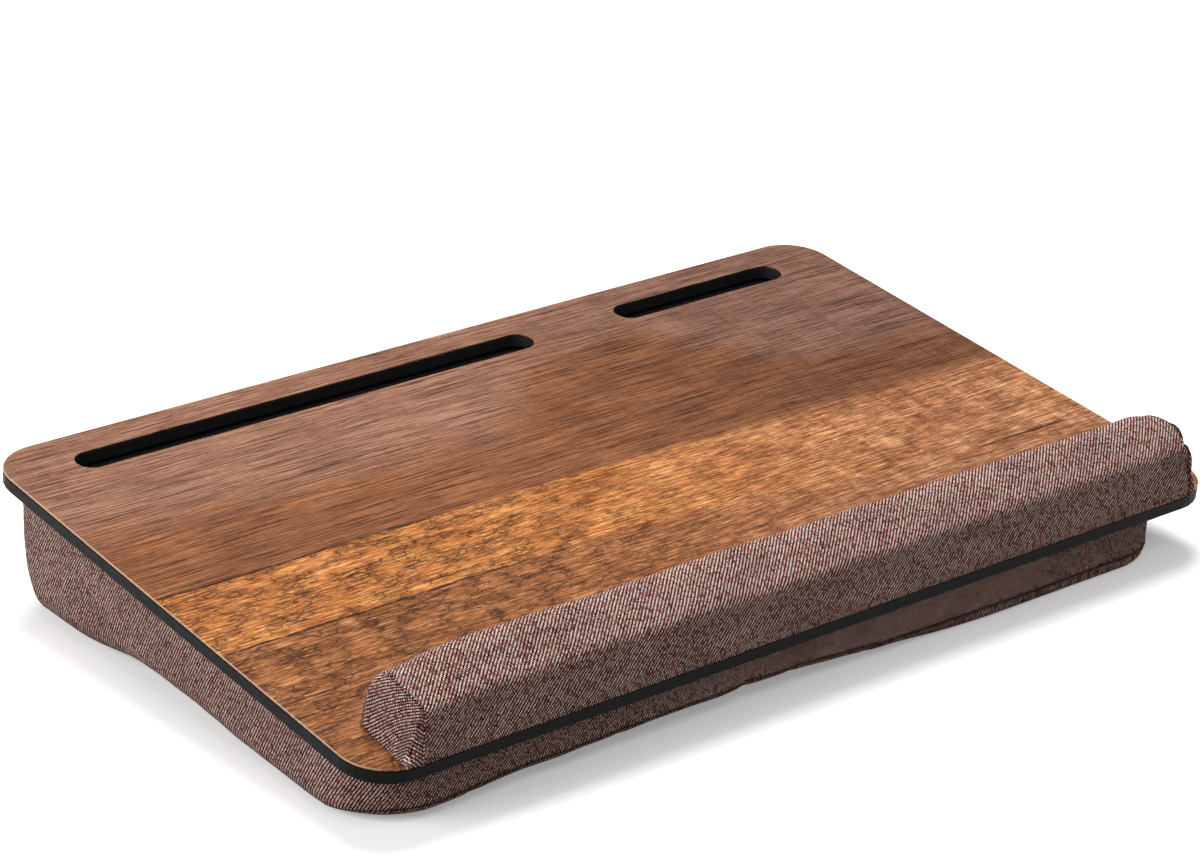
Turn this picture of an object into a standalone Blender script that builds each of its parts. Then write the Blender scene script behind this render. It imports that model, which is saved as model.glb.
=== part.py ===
"""Lap desk: a wood-faced board on a wedge cushion, with a wrist rest and two slots.

The board's own frame carries everything. Its origin is on the board's top face, at the
middle of the front edge: +X right, +Y to the rear, +Z out of the face. An empty tilts
that frame so that the cushion stands flat on the surface at height zero.
"""

import math

import bmesh
import bpy
from mathutils import Matrix, Vector

# Room between pieces that touch, which also stands for a glue line.
CLEARANCE = 0.0003
# One overrun serves every cut.
OVERRUN = 0.01
# Points nearer than this are one.
MERGE_DISTANCE = 0.000003

# Board: a black panel with an edge band and a printed wood sheet on top.
BOARD_WIDTH = 0.546
BOARD_DEPTH = 0.345
BOARD_THICKNESS = 0.0078
BOARD_CORNER_RADIUS = 0.025
BOARD_TILT = math.radians(7.05)
FRONT_HEIGHT = 0.037
LAMINATE_THICKNESS = 0.0008
LAMINATE_EDGE = 0.0002
EDGE_BAND_THICKNESS = 0.001
EDGE_BAND_ROUND = 0.0004
PANEL_EDGE = 0.0003

# Slots for a tablet and a telephone, near the rear edge.
SLOT_WIDTH = 0.018
SLOT_FROM_REAR = 0.019
PHONE_SLOT_LENGTH = 0.1195
PHONE_SLOT_FROM_RIGHT = 0.0385
TABLET_SLOT_LENGTH = 0.290
TABLET_SLOT_FROM_LEFT = 0.0375

# Wrist rest: a foam bar in a fabric cover, glued along the front of the board.
REST_FROM_SIDE = 0.020
REST_LENGTH = BOARD_WIDTH - 2 * REST_FROM_SIDE
REST_FROM_FRONT = 0.0015
REST_DEPTH = 0.040
REST_FRONT_HEIGHT = 0.0265
REST_REAR_HEIGHT = 0.039
REST_FRONT_LEAN = 0.0025
REST_REAR_LEAN = 0.0015
REST_CROWN = 0.0012
REST_FRONT_RADIUS = 0.007
REST_CROWN_RADIUS = 0.030
REST_REAR_RADIUS = 0.011
REST_END_DROP_SHARE = 0.085
REST_END_DROP_LENGTH = 0.050
REST_END_RUN = 0.009
REST_END_FULLNESS = 0.6
REST_FOOT_ROUND = 0.003
FOAM_END_SHARES = (0, 0.35, 0.6)
REST_COVER_THICKNESS = 0.0012
REST_TAPE_THICKNESS = 0.0008
REST_TAPE_WIDTH = 0.012
REST_STRIP_THICKNESS = 0.002
REST_STRIP_RADIUS = 0.004

# Base cushion: plan, heights and the form of its sides.
CUSHION_FROM_LEFT = 0.004
CUSHION_FROM_RIGHT = 0.0205
CUSHION_WIDTH = BOARD_WIDTH - CUSHION_FROM_LEFT - CUSHION_FROM_RIGHT
CUSHION_FROM_FRONT = 0.006
CUSHION_FROM_REAR = 0.005
CUSHION_CORNER_RADIUS = 0.038
COVER_THICKNESS = 0.0015
TOP_TUCK = 0.0025
TOP_TUCK_SHARE = 0.25
LOWER_ROUND_SHARE = 0.35
CORNER_START_SHARE = 0.25
CORNER_DEPTH_SHARE = 0.3
CORNER_FULL_HEIGHT = 0.070
SEAM_SHARE = 0.9
SEAM_GAP = 0.0008
BAND_SHARES = (0, 0.08, 0.25, 0.65, 0.76, 0.84, SEAM_SHARE)
PANEL_SHARES = (SEAM_SHARE, 0.945, 0.98, 1)
FILLING_SHARES = (0, 0.25, 0.65, 0.8, 0.92, 1)
STANDING_CUT = 0.0005

# The underside rises between the front pad and the rear bolster, and a little in front.
VALLEY_HEIGHT = 0.008
VALLEY_FRONT = 0.055
VALLEY_MIDDLE = 0.200
VALLEY_REAR = 0.262
ARCH_HEIGHT = 0.007
ARCH_FROM_LEFT = 0.190
ARCH_HALF_WIDTH = 0.150
ARCH_DEPTH = 0.085

# Hook and loop strips that hold the cushion under the board, and its lining.
STRIP_THICKNESS = 0.001
STRIP_WIDTH = 0.025
STRIP_FROM_SIDE = 0.053
STRIP_LENGTH = BOARD_WIDTH - 2 * STRIP_FROM_SIDE
STRIP_ROUND = 0.0002
FRONT_STRIP_FROM_FRONT = 0.040
REAR_STRIP_FROM_REAR = 0.055
LINING_THICKNESS = 0.0008
DIVIDER_THICKNESS = 0.001
FILLING_ROOM = 0.0011

# Zip across the rear of the cushion.
ZIP_OPENING_LENGTH = 0.400
ZIP_OPENING_HEIGHT = 0.022
ZIP_DEPTH_SHARE = 0.44
ZIP_TAPE_THICKNESS = 0.0008
ZIP_TAPE_SET_IN = 0.0004
ZIP_HALF_GAP = 0.0006
ZIP_TEETH_HEIGHT = 0.002
ZIP_TEETH_DEPTH = 0.0014
ZIP_TEETH_ROUND = 0.0003
ZIP_STOP_LENGTH = 0.003
ZIP_STOP_FROM_END = 0.004
SLIDER_LENGTH = 0.010
SLIDER_WING = 0.001
SLIDER_FLANGE = 0.0008
SLIDER_WEB = 0.0006
SLIDER_ROUND = 0.0002
BAIL_LENGTH = 0.0052
BAIL_WIDTH = 0.0016
BAIL_POST = 0.001
BAIL_ROOM = 0.002
BAIL_TOP = 0.0009
PULL_LENGTH = 0.022
PULL_WIDTH = 0.0055
PULL_THICKNESS = 0.0012
PULL_EYE_LENGTH = 0.004
PULL_EYE_WIDTH = 0.003
PULL_ROUND = 0.0003

# How finely curved outlines are drawn.
CORNER_STEPS = 6
SIDE_STEPS = 8
FINE_CORNER_STEPS = 8
SECTION_STEPS = 5
END_STEPS = 5
REST_STEPS = 12
BEVEL_STEPS = 1
PANEL_CUTS = (14, 14)
FILLING_CUTS = (10, 7)
SMOOTH_ANGLE = math.radians(35)

# Colours (linear), roughness and metallic value of each finish.
FINISHES = {
    "printed_wood": ((0.235, 0.105, 0.047), 0.45, 0.0),
    "black_edge": ((0.012, 0.012, 0.013), 0.5, 0.0),
    "black_panel": ((0.014, 0.013, 0.013), 0.6, 0.0),
    "tweed_fabric": ((0.150, 0.092, 0.084), 0.92, 0.0),
    "lining_fabric": ((0.030, 0.028, 0.028), 0.9, 0.0),
    "foam": ((0.62, 0.58, 0.50), 0.95, 0.0),
    "fibre_filling": ((0.80, 0.80, 0.78), 0.95, 0.0),
    "hardboard": ((0.20, 0.11, 0.055), 0.8, 0.0),
    "double_sided_tape": ((0.55, 0.52, 0.45), 0.6, 0.0),
    "hook_tape": ((0.010, 0.010, 0.011), 0.85, 0.0),
    "zip_fabric": ((0.055, 0.035, 0.032), 0.9, 0.0),
    "zip_plastic": ((0.045, 0.030, 0.028), 0.4, 0.0),
    "zip_metal": ((0.060, 0.056, 0.054), 0.35, 1.0),
}


def clear_scene():
    for item in list(bpy.data.objects):
        bpy.data.objects.remove(item, do_unlink=True)


def make_collection(name):
    collection = bpy.data.collections.new(name)
    bpy.context.scene.collection.children.link(collection)
    return collection


def make_finish(name):
    colour, roughness, metallic = FINISHES[name]
    material = bpy.data.materials.new(name)
    material.use_nodes = True
    shader = material.node_tree.nodes["Principled BSDF"]
    shader.inputs["Base Color"].default_value = (*colour, 1)
    shader.inputs["Roughness"].default_value = roughness
    shader.inputs["Metallic"].default_value = metallic
    material.diffuse_color = (*colour, 1)
    return material


def make_empty(name, parent, place):
    empty = bpy.data.objects.new(name, None)
    parts.objects.link(empty)
    empty.parent = parent
    empty.matrix_local = place
    return empty


def add_object(name, mesh, finish, parent, origin=(0, 0, 0)):
    """A part at its parent's frame, with its own origin where it turns or slides."""
    mesh.transform(Matrix.Translation(-Vector(origin)))
    item = bpy.data.objects.new(name, mesh)
    parts.objects.link(item)
    item.parent = parent
    item.location = origin
    item.data.materials.clear()
    item.data.materials.append(finishes[finish])
    item.data.shade_smooth()
    item.data.set_sharp_from_angle(angle=SMOOTH_ANGLE)
    return item


def mesh_from(bm, name):
    mesh = bpy.data.meshes.new(name)
    bm.to_mesh(mesh)
    bm.free()
    return mesh


def cutter_from(mesh, name, parent):
    """A hidden solid for Boolean modifiers."""
    item = bpy.data.objects.new(name, mesh)
    cutters.objects.link(item)
    item.parent = parent
    item.hide_render = True
    item.display_type = "WIRE"
    return item


def box_mesh(name, low, high):
    """A box between two corners."""
    size = Vector(high) - Vector(low)
    middle = (Vector(high) + Vector(low)) / 2
    bm = bmesh.new()
    place = Matrix.Translation(middle) @ Matrix.Diagonal((*size, 1))
    bmesh.ops.create_cube(bm, size=1, matrix=place)
    return mesh_from(bm, name)


def boolean(item, cutter, operation):
    modifier = item.modifiers.new(operation.lower(), "BOOLEAN")
    modifier.operation = operation
    modifier.object = cutter
    modifier.solver = "EXACT"


def outline(left, right, front, rear, radius, corner_steps=FINE_CORNER_STEPS, side_steps=1):
    """A rounded rectangle from above, anticlockwise: each point and the way out there."""
    corners = (
        (right - radius, front + radius, -90),
        (right - radius, rear - radius, 0),
        (left + radius, rear - radius, 90),
        (left + radius, front + radius, 180),
    )
    spots = []
    for number, (x, y, start) in enumerate(corners):
        for step in range(corner_steps + 1):
            angle = math.radians(start + 90 * step / corner_steps)
            way = Vector((math.cos(angle), math.sin(angle)))
            spots.append((Vector((x, y)) + radius * way, way))
        after_x, after_y, _ = corners[(number + 1) % len(corners)]
        first = spots[-1][0]
        last = Vector((after_x, after_y)) + radius * way
        for step in range(1, side_steps):
            spots.append((first.lerp(last, step / side_steps), way))
    return spots


def points_of(spots):
    return [spot for spot, _ in spots]


def plate_mesh(name, outlines, low, high, edge):
    """A flat piece between two heights, from its outline and those of its holes."""
    curve = bpy.data.curves.new(name, "CURVE")
    curve.dimensions = "2D"
    curve.fill_mode = "BOTH"
    curve.extrude = (high - low) / 2 - edge
    curve.bevel_depth = edge
    curve.bevel_resolution = BEVEL_STEPS
    curve.offset = -edge
    for points in outlines:
        spline = curve.splines.new("POLY")
        spline.points.add(len(points) - 1)
        for place, point in zip(spline.points, points):
            place.co = (point[0], point[1], 0, 1)
        spline.use_cyclic_u = True
    flat = bpy.data.objects.new(name, curve)
    bpy.context.scene.collection.objects.link(flat)
    evaluated = flat.evaluated_get(bpy.context.evaluated_depsgraph_get())
    mesh = bpy.data.meshes.new_from_object(evaluated)
    bpy.data.objects.remove(flat)
    bpy.data.curves.remove(curve)
    bm = bmesh.new()
    bm.from_mesh(mesh)
    bmesh.ops.remove_doubles(bm, verts=bm.verts, dist=MERGE_DISTANCE)
    bmesh.ops.recalc_face_normals(bm, faces=bm.faces)
    bmesh.ops.translate(bm, verts=bm.verts, vec=(0, 0, (low + high) / 2))
    bm.to_mesh(mesh)
    bm.free()
    return mesh


def ease(share):
    """A smooth step from 0 to 1."""
    share = min(max(share, 0), 1)
    return (1 - math.cos(math.pi * share)) / 2


def fillet_path(corners, radii):
    """An open path through corners, each inner one rounded to its radius."""
    path = [Vector(corners[0])]
    for before, corner, after, radius in zip(corners, corners[1:], corners[2:], radii):
        corner = Vector(corner)
        back = (Vector(before) - corner).normalized()
        ahead = (Vector(after) - corner).normalized()
        half = back.angle(ahead) / 2
        centre = corner + (back + ahead).normalized() * radius / math.sin(half)
        start = corner + back * radius / math.tan(half) - centre
        turn = start.angle_signed(corner + ahead * radius / math.tan(half) - centre)
        for step in range(SECTION_STEPS + 1):
            angle = -turn * step / SECTION_STEPS
            path.append(centre + Matrix.Rotation(angle, 2) @ start)
    path.append(Vector(corners[-1]))
    return path


def set_back(path, distance):
    """The path moved to its right-hand side, seen along the way it runs."""
    moved = []
    for number, point in enumerate(path):
        before = path[max(number - 1, 0)]
        after = path[min(number + 1, len(path) - 1)]
        along = (after - before).normalized()
        moved.append(point + distance * Vector((along.y, -along.x)))
    return moved


def loft(bm, rings, closed):
    """Quads between rings of vertices, each ring as long as the next."""
    count = len(rings[0])
    for upper, lower in zip(rings, rings[1:]):
        for number in range(count if closed else count - 1):
            after = (number + 1) % count
            bm.faces.new((upper[number], lower[number], lower[after], upper[after]))


def solidify(item, thickness):
    """A wall grown inwards from an open skin."""
    modifier = item.modifiers.new("wall", "SOLIDIFY")
    modifier.thickness = thickness
    modifier.offset = -1
    modifier.use_even_offset = True
    return modifier


# Board

def board_outline(inset):
    half = BOARD_WIDTH / 2
    return points_of(outline(
        inset - half, half - inset, inset, BOARD_DEPTH - inset, BOARD_CORNER_RADIUS - inset,
    ))


def slot_outline(left, right):
    rear = BOARD_DEPTH - SLOT_FROM_REAR
    return points_of(outline(left, right, rear - SLOT_WIDTH, rear, SLOT_WIDTH / 2))


def slot_outlines():
    phone_right = BOARD_WIDTH / 2 - PHONE_SLOT_FROM_RIGHT
    tablet_left = TABLET_SLOT_FROM_LEFT - BOARD_WIDTH / 2
    return [
        slot_outline(phone_right - PHONE_SLOT_LENGTH, phone_right),
        slot_outline(tablet_left, tablet_left + TABLET_SLOT_LENGTH),
    ]


def make_board():
    """The printed sheet lies on the panel, and the edge band runs round under it."""
    sheet = plate_mesh(
        "wood_laminate", [board_outline(0), *slot_outlines()],
        -LAMINATE_THICKNESS, 0, LAMINATE_EDGE,
    )
    add_object("wood_laminate", sheet, "printed_wood", board)
    panel_top = -LAMINATE_THICKNESS - CLEARANCE
    core_inset = EDGE_BAND_THICKNESS + CLEARANCE
    core = plate_mesh(
        "board_core", [board_outline(core_inset), *slot_outlines()],
        -BOARD_THICKNESS, panel_top, PANEL_EDGE,
    )
    add_object("board_core", core, "black_panel", board)
    band = plate_mesh(
        "edge_band", [board_outline(0), board_outline(EDGE_BAND_THICKNESS)],
        -BOARD_THICKNESS, panel_top, EDGE_BAND_ROUND,
    )
    add_object("edge_band", band, "black_edge", board)


# Wrist rest

def rest_section(distance, low):
    """The cover's section from the front foot over the top to the rear foot, set back."""
    front = REST_FROM_FRONT
    rear = REST_FROM_FRONT + REST_DEPTH
    ridge = (front + REST_FRONT_LEAN, REST_FRONT_HEIGHT)
    back = (rear - REST_REAR_LEAN, REST_REAR_HEIGHT)
    crown = ((ridge[0] + back[0]) / 2, (ridge[1] + back[1]) / 2 + REST_CROWN)
    corners = ((front, 0), ridge, crown, back, (rear, 0))
    radii = (REST_FRONT_RADIUS, REST_CROWN_RADIUS, REST_REAR_RADIUS)
    path = set_back(fillet_path(corners, radii), distance)
    path[0].y = low
    path[-1].y = low
    return path


def rest_seam():
    return REST_LENGTH / 2 - REST_END_RUN


def rest_ring(x, distance, low):
    """The section at one place along the bar, a little lower towards the ends."""
    from_seam = rest_seam() - abs(x)
    drop = REST_END_DROP_SHARE * ease(1 - from_seam / REST_END_DROP_LENGTH)
    section = rest_section(distance, low)
    return [Vector((x, point.x, low + (point.y - low) * (1 - drop))) for point in section]


def rest_end_ring(side, turn_share, distance, low):
    """The section as it closes towards the foot of one end, from 0 at the seam to 1."""
    section = rest_ring(side * rest_seam(), distance, low)
    turn = math.pi / 2 * turn_share
    run = (REST_END_RUN - distance) * math.sin(turn)
    fullness = math.cos(turn) ** REST_END_FULLNESS
    lengths = [0]
    for before, after in zip(section, section[1:]):
        lengths.append(lengths[-1] + (after - before).length)
    ring = []
    for point, length in zip(section, lengths):
        share = length / lengths[-1]
        spot = section[0].lerp(section[-1], share).lerp(point, fullness)
        spot.x = point.x + side * (run - REST_FOOT_ROUND * math.sin(turn) * (2 * share - 1) ** 4)
        ring.append(spot)
    return ring


def make_rest_cover():
    """One length of fabric over the bar, with a sewn panel closing each end."""
    low = CLEARANCE
    half = rest_seam() - CLEARANCE
    bm = bmesh.new()
    rings = []
    for step in range(REST_STEPS + 1):
        x = half * math.cos(math.pi * step / REST_STEPS)
        rings.append([bm.verts.new(place) for place in rest_ring(x, 0, low)])
    loft(bm, rings, closed=False)
    cover = add_object("wrist_rest_cover", mesh_from(bm, "wrist_rest_cover"),
                       "tweed_fabric", board)
    solidify(cover, REST_COVER_THICKNESS)
    for name, side in (("wrist_rest_end_left", -1), ("wrist_rest_end_right", 1)):
        bm = bmesh.new()
        rings = []
        for step in range(END_STEPS + 1):
            ring = rest_end_ring(side, step / END_STEPS, 0, low)
            rings.append([bm.verts.new(place) for place in ring])
        loft(bm, rings if side < 0 else rings[::-1], closed=False)
        bmesh.ops.remove_doubles(bm, verts=bm.verts, dist=MERGE_DISTANCE)
        panel = add_object(name, mesh_from(bm, name), "tweed_fabric", board)
        solidify(panel, REST_COVER_THICKNESS)


def make_rest_core():
    """Foam bar on a stiff strip, with two runs of double-sided tape under the strip."""
    tape_top = CLEARANCE + REST_TAPE_THICKNESS
    strip_low = tape_top + CLEARANCE
    strip_top = strip_low + REST_STRIP_THICKNESS
    inside = REST_COVER_THICKNESS + CLEARANCE
    front = REST_FROM_FRONT + inside + CLEARANCE
    rear = REST_FROM_FRONT + REST_DEPTH - inside - CLEARANCE
    half = rest_seam()
    strip = plate_mesh(
        "wrist_rest_base_strip",
        [points_of(outline(-half, half, front, rear, REST_STRIP_RADIUS))],
        strip_low, strip_top, LAMINATE_EDGE,
    )
    add_object("wrist_rest_base_strip", strip, "hardboard", board)
    runs = (
        ("wrist_rest_tape_front", front + REST_STRIP_RADIUS),
        ("wrist_rest_tape_rear", rear - REST_STRIP_RADIUS - REST_TAPE_WIDTH),
    )
    for name, start in runs:
        low = (-half + REST_STRIP_RADIUS, start, CLEARANCE)
        high = (half - REST_STRIP_RADIUS, start + REST_TAPE_WIDTH, tape_top)
        add_object(name, box_mesh(name, low, high), "double_sided_tape", board)
    bm = bmesh.new()
    foam_low = strip_top + CLEARANCE
    rings = []
    for side, turn_shares in ((1, FOAM_END_SHARES[::-1]), (-1, FOAM_END_SHARES)):
        for turn_share in turn_shares:
            ring = rest_end_ring(side, turn_share, inside + CLEARANCE, foam_low)
            rings.append([bm.verts.new(place) for place in ring])
    loft(bm, rings, closed=True)
    bm.faces.new(rings[0])
    bm.faces.new(rings[-1])
    bmesh.ops.recalc_face_normals(bm, faces=bm.faces)
    add_object("wrist_rest_foam", mesh_from(bm, "wrist_rest_foam"), "foam", board)


# Base cushion

def surface_below(y):
    """Height of the surface that the desk stands on, in the board's frame."""
    return -(FRONT_HEIGHT + y * math.sin(BOARD_TILT)) / math.cos(BOARD_TILT)


def underside(x, y):
    """The cushion's lower face: flat where it stands, lifted between pad and bolster."""
    if y < VALLEY_MIDDLE:
        valley = ease((y - VALLEY_FRONT) / (VALLEY_MIDDLE - VALLEY_FRONT))
    else:
        valley = ease((VALLEY_REAR - y) / (VALLEY_REAR - VALLEY_MIDDLE))
    from_arch = abs(x + BOARD_WIDTH / 2 - ARCH_FROM_LEFT)
    arch = ease(1 - from_arch / ARCH_HALF_WIDTH) * ease(1 - y / ARCH_DEPTH)
    lift = VALLEY_HEIGHT * valley + ARCH_HEIGHT * arch
    return surface_below(y) + lift - STANDING_CUT


def drawn_in(share, height, way):
    """How far the side stands inside its widest line, at a share of the way down.

    The lower edge is rounded, and rounder where a tall side turns a corner.
    """
    tuck = TOP_TUCK * max(0, 1 - share / TOP_TUCK_SHARE) ** 2
    corner = abs(2 * way.x * way.y) * height / CORNER_FULL_HEIGHT
    round_share = LOWER_ROUND_SHARE + CORNER_START_SHARE * corner
    turn = min(max(0, share - 1 + round_share) / round_share, 1)
    depth = LOWER_ROUND_SHARE * height * (1 + CORNER_DEPTH_SHARE * corner)
    return tuck + depth * (1 - math.sqrt(1 - turn * turn))


def skin_point(spot, way, share, top, distance, drop):
    """A point of the cushion's skin, set back by a distance, below a spot of its plan."""
    height = top - underside(*spot) - distance
    share = share + drop / height
    place = spot - (drawn_in(share, height, way) + distance) * way
    low = underside(*place) + distance
    return (*place, top - share * (top - low))


def skin_rings(bm, spots, shares, top, distance=0, drop=0):
    rings = []
    for number, share in enumerate(shares):
        first_drop = drop if number == 0 else 0
        rings.append([
            bm.verts.new(skin_point(spot, way, share, top, distance, first_drop))
            for spot, way in spots
        ])
    loft(bm, rings, closed=True)
    return rings


def close_underside(bm, ring, cuts, distance=0):
    """The lower face inside a ring, cut into a grid that follows the underside."""
    face = bm.faces.new(ring[::-1])
    low_x, high_x = min(v.co.x for v in ring), max(v.co.x for v in ring)
    low_y, high_y = min(v.co.y for v in ring), max(v.co.y for v in ring)
    planes = []
    for axis, count in ((Vector((1, 0, 0)), cuts[0]), (Vector((0, 1, 0)), cuts[1])):
        for number in range(1, count + 1):
            share = number / (count + 1)
            place = (low_x + share * (high_x - low_x), low_y + share * (high_y - low_y), 0)
            planes.append((place, axis))
    pieces = [face, *face.edges, *face.verts]
    for place, axis in planes:
        found = bmesh.ops.bisect_plane(
            bm, geom=pieces, dist=MERGE_DISTANCE, plane_co=place, plane_no=axis,
        )
        pieces = found["geom"]
    lower = {v for item in pieces if isinstance(item, bmesh.types.BMFace) for v in item.verts}
    for vert in lower:
        vert.co.z = underside(vert.co.x, vert.co.y) + distance


def cushion_left():
    return CUSHION_FROM_LEFT - BOARD_WIDTH / 2


def cushion_rear():
    return BOARD_DEPTH - CUSHION_FROM_REAR


def cushion_outline(inset=0, side_steps=SIDE_STEPS):
    left = cushion_left()
    return outline(
        left + inset, left + CUSHION_WIDTH - inset,
        CUSHION_FROM_FRONT + inset, cushion_rear() - inset,
        CUSHION_CORNER_RADIUS - inset, CORNER_STEPS, side_steps,
    )


def cushion_top():
    return -BOARD_THICKNESS - CLEARANCE


def lining_low():
    strips = 2 * (STRIP_THICKNESS + CLEARANCE)
    return cushion_top() - strips - LINING_THICKNESS


def zip_middle_height():
    rear = cushion_rear()
    return cushion_top() - ZIP_DEPTH_SHARE * (cushion_top() - surface_below(rear))


def make_cover():
    """Side band and bottom panel, sewn together just above the surface."""
    bm = bmesh.new()
    skin_rings(bm, cushion_outline(), BAND_SHARES, cushion_top())
    band = add_object("cushion_side_band", mesh_from(bm, "cushion_side_band"),
                      "tweed_fabric", board)
    solidify(band, COVER_THICKNESS)
    half_length = ZIP_OPENING_LENGTH / 2
    half_height = ZIP_OPENING_HEIGHT / 2
    hole = box_mesh(
        "zip_opening",
        (-half_length, cushion_rear() - OVERRUN, zip_middle_height() - half_height),
        (half_length, cushion_rear() + OVERRUN, zip_middle_height() + half_height),
    )
    boolean(band, cutter_from(hole, "zip_opening", board), "DIFFERENCE")

    bm = bmesh.new()
    rings = skin_rings(bm, cushion_outline(), PANEL_SHARES, cushion_top(), drop=SEAM_GAP)
    close_underside(bm, rings[-1], PANEL_CUTS)
    panel = add_object("cushion_bottom_panel", mesh_from(bm, "cushion_bottom_panel"),
                       "tweed_fabric", board)
    solidify(panel, COVER_THICKNESS)
    ground = box_mesh(
        "ground", (-BOARD_WIDTH, -BOARD_DEPTH, -OVERRUN), (BOARD_WIDTH, BOARD_DEPTH, 0),
    )
    boolean(panel, cutter_from(ground, "ground", None), "DIFFERENCE")


def make_filling():
    """A thin front pad and a thick rear bolster, kept apart by a sewn divider."""
    top = lining_low() - CLEARANCE
    distance = COVER_THICKNESS + FILLING_ROOM
    left = cushion_left()
    right = left + CUSHION_WIDTH
    beside = DIVIDER_THICKNESS / 2 + CLEARANCE - distance
    spans = (
        ("front_pad_filling", CUSHION_FROM_FRONT, VALLEY_MIDDLE - beside),
        ("rear_bolster_filling", VALLEY_MIDDLE + beside, cushion_rear()),
    )
    for name, front, rear in spans:
        spots = outline(left, right, front, rear, CUSHION_CORNER_RADIUS,
                        CORNER_STEPS, SIDE_STEPS)
        bm = bmesh.new()
        rings = skin_rings(bm, spots, FILLING_SHARES, top, distance)
        bm.faces.new(rings[0])
        close_underside(bm, rings[-1], FILLING_CUTS, distance)
        add_object(name, mesh_from(bm, name), "fibre_filling", board)
    low = underside(0, VALLEY_MIDDLE) + distance
    inset = LOWER_ROUND_SHARE * (top - low) + distance
    divider = box_mesh(
        "filling_divider",
        (left + inset, VALLEY_MIDDLE - DIVIDER_THICKNESS / 2, low),
        (right - inset, VALLEY_MIDDLE + DIVIDER_THICKNESS / 2, top),
    )
    add_object("filling_divider", divider, "lining_fabric", board)


def make_lining():
    """The cover's top, held to the board by two runs of hook and loop."""
    inset = TOP_TUCK + COVER_THICKNESS + CLEARANCE
    low = lining_low()
    lining = plate_mesh(
        "cushion_top_lining", [points_of(cushion_outline(inset, 1))],
        low, low + LINING_THICKNESS, LAMINATE_EDGE,
    )
    add_object("cushion_top_lining", lining, "lining_fabric", board)
    middles = (
        ("front", FRONT_STRIP_FROM_FRONT),
        ("rear", BOARD_DEPTH - REAR_STRIP_FROM_REAR),
    )
    step = STRIP_THICKNESS + CLEARANCE
    for place, middle in middles:
        for kind, top in (("hook", cushion_top()), ("loop", cushion_top() - step)):
            name = f"{kind}_strip_{place}"
            strip = outline(
                -STRIP_LENGTH / 2, STRIP_LENGTH / 2,
                middle - STRIP_WIDTH / 2, middle + STRIP_WIDTH / 2, STRIP_THICKNESS,
            )
            mesh = plate_mesh(name, [points_of(strip)], top - STRIP_THICKNESS, top, STRIP_ROUND)
            add_object(name, mesh, "hook_tape", board)


# Zip, in its own frame: +X to the right as seen from behind, +Y up, +Z out

def tape_half_length():
    return ZIP_OPENING_LENGTH / 2 - CLEARANCE


def teeth_half_length():
    return tape_half_length() - ZIP_STOP_FROM_END - ZIP_STOP_LENGTH - CLEARANCE


def teeth_low():
    return CLEARANCE - ZIP_TAPE_SET_IN


def teeth_top():
    return teeth_low() + ZIP_TEETH_DEPTH


def teeth_outer():
    return ZIP_HALF_GAP + ZIP_TEETH_HEIGHT


def slider_rest():
    """The closed end, where the slider stays."""
    return SLIDER_LENGTH / 2 + CLEARANCE - teeth_half_length()


def wing_top():
    return teeth_top() + CLEARANCE + SLIDER_WING


def pull_axis_height():
    return wing_top() + BAIL_ROOM / 2


def zip_reach():
    """How far the bail stands out of the cushion's rear face."""
    return wing_top() + BAIL_ROOM + BAIL_TOP


def rectangle(low_x, high_x, low_y, high_y):
    return [(low_x, low_y), (high_x, low_y), (high_x, high_y), (low_x, high_y)]


def make_zip_chain():
    """Two tapes in the opening, a row of teeth on each and a stop at both ends."""
    half = tape_half_length()
    tape_high = -ZIP_TAPE_SET_IN
    for place, side in (("upper", 1), ("lower", -1)):
        edges = sorted((side * ZIP_HALF_GAP, side * (ZIP_OPENING_HEIGHT / 2 - CLEARANCE)))
        name = f"zip_tape_{place}"
        mesh = box_mesh(name, (-half, edges[0], tape_high - ZIP_TAPE_THICKNESS),
                        (half, edges[1], tape_high))
        add_object(name, mesh, "zip_fabric", zip_frame)
        rows = sorted((side * ZIP_HALF_GAP, side * teeth_outer()))
        name = f"zip_teeth_{place}"
        row = rectangle(-teeth_half_length(), teeth_half_length(), *rows)
        mesh = plate_mesh(name, [row], teeth_low(), teeth_top(), ZIP_TEETH_ROUND)
        add_object(name, mesh, "zip_plastic", zip_frame)
    near = teeth_half_length() + CLEARANCE
    far = near + ZIP_STOP_LENGTH
    for name, ends in (("zip_stop_closed_end", (-far, -near)), ("zip_stop_open_end", (near, far))):
        block = rectangle(*ends, -teeth_outer(), teeth_outer())
        mesh = plate_mesh(name, [block], teeth_low(), teeth_top(), ZIP_TEETH_ROUND)
        add_object(name, mesh, "zip_metal", zip_frame)


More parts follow.
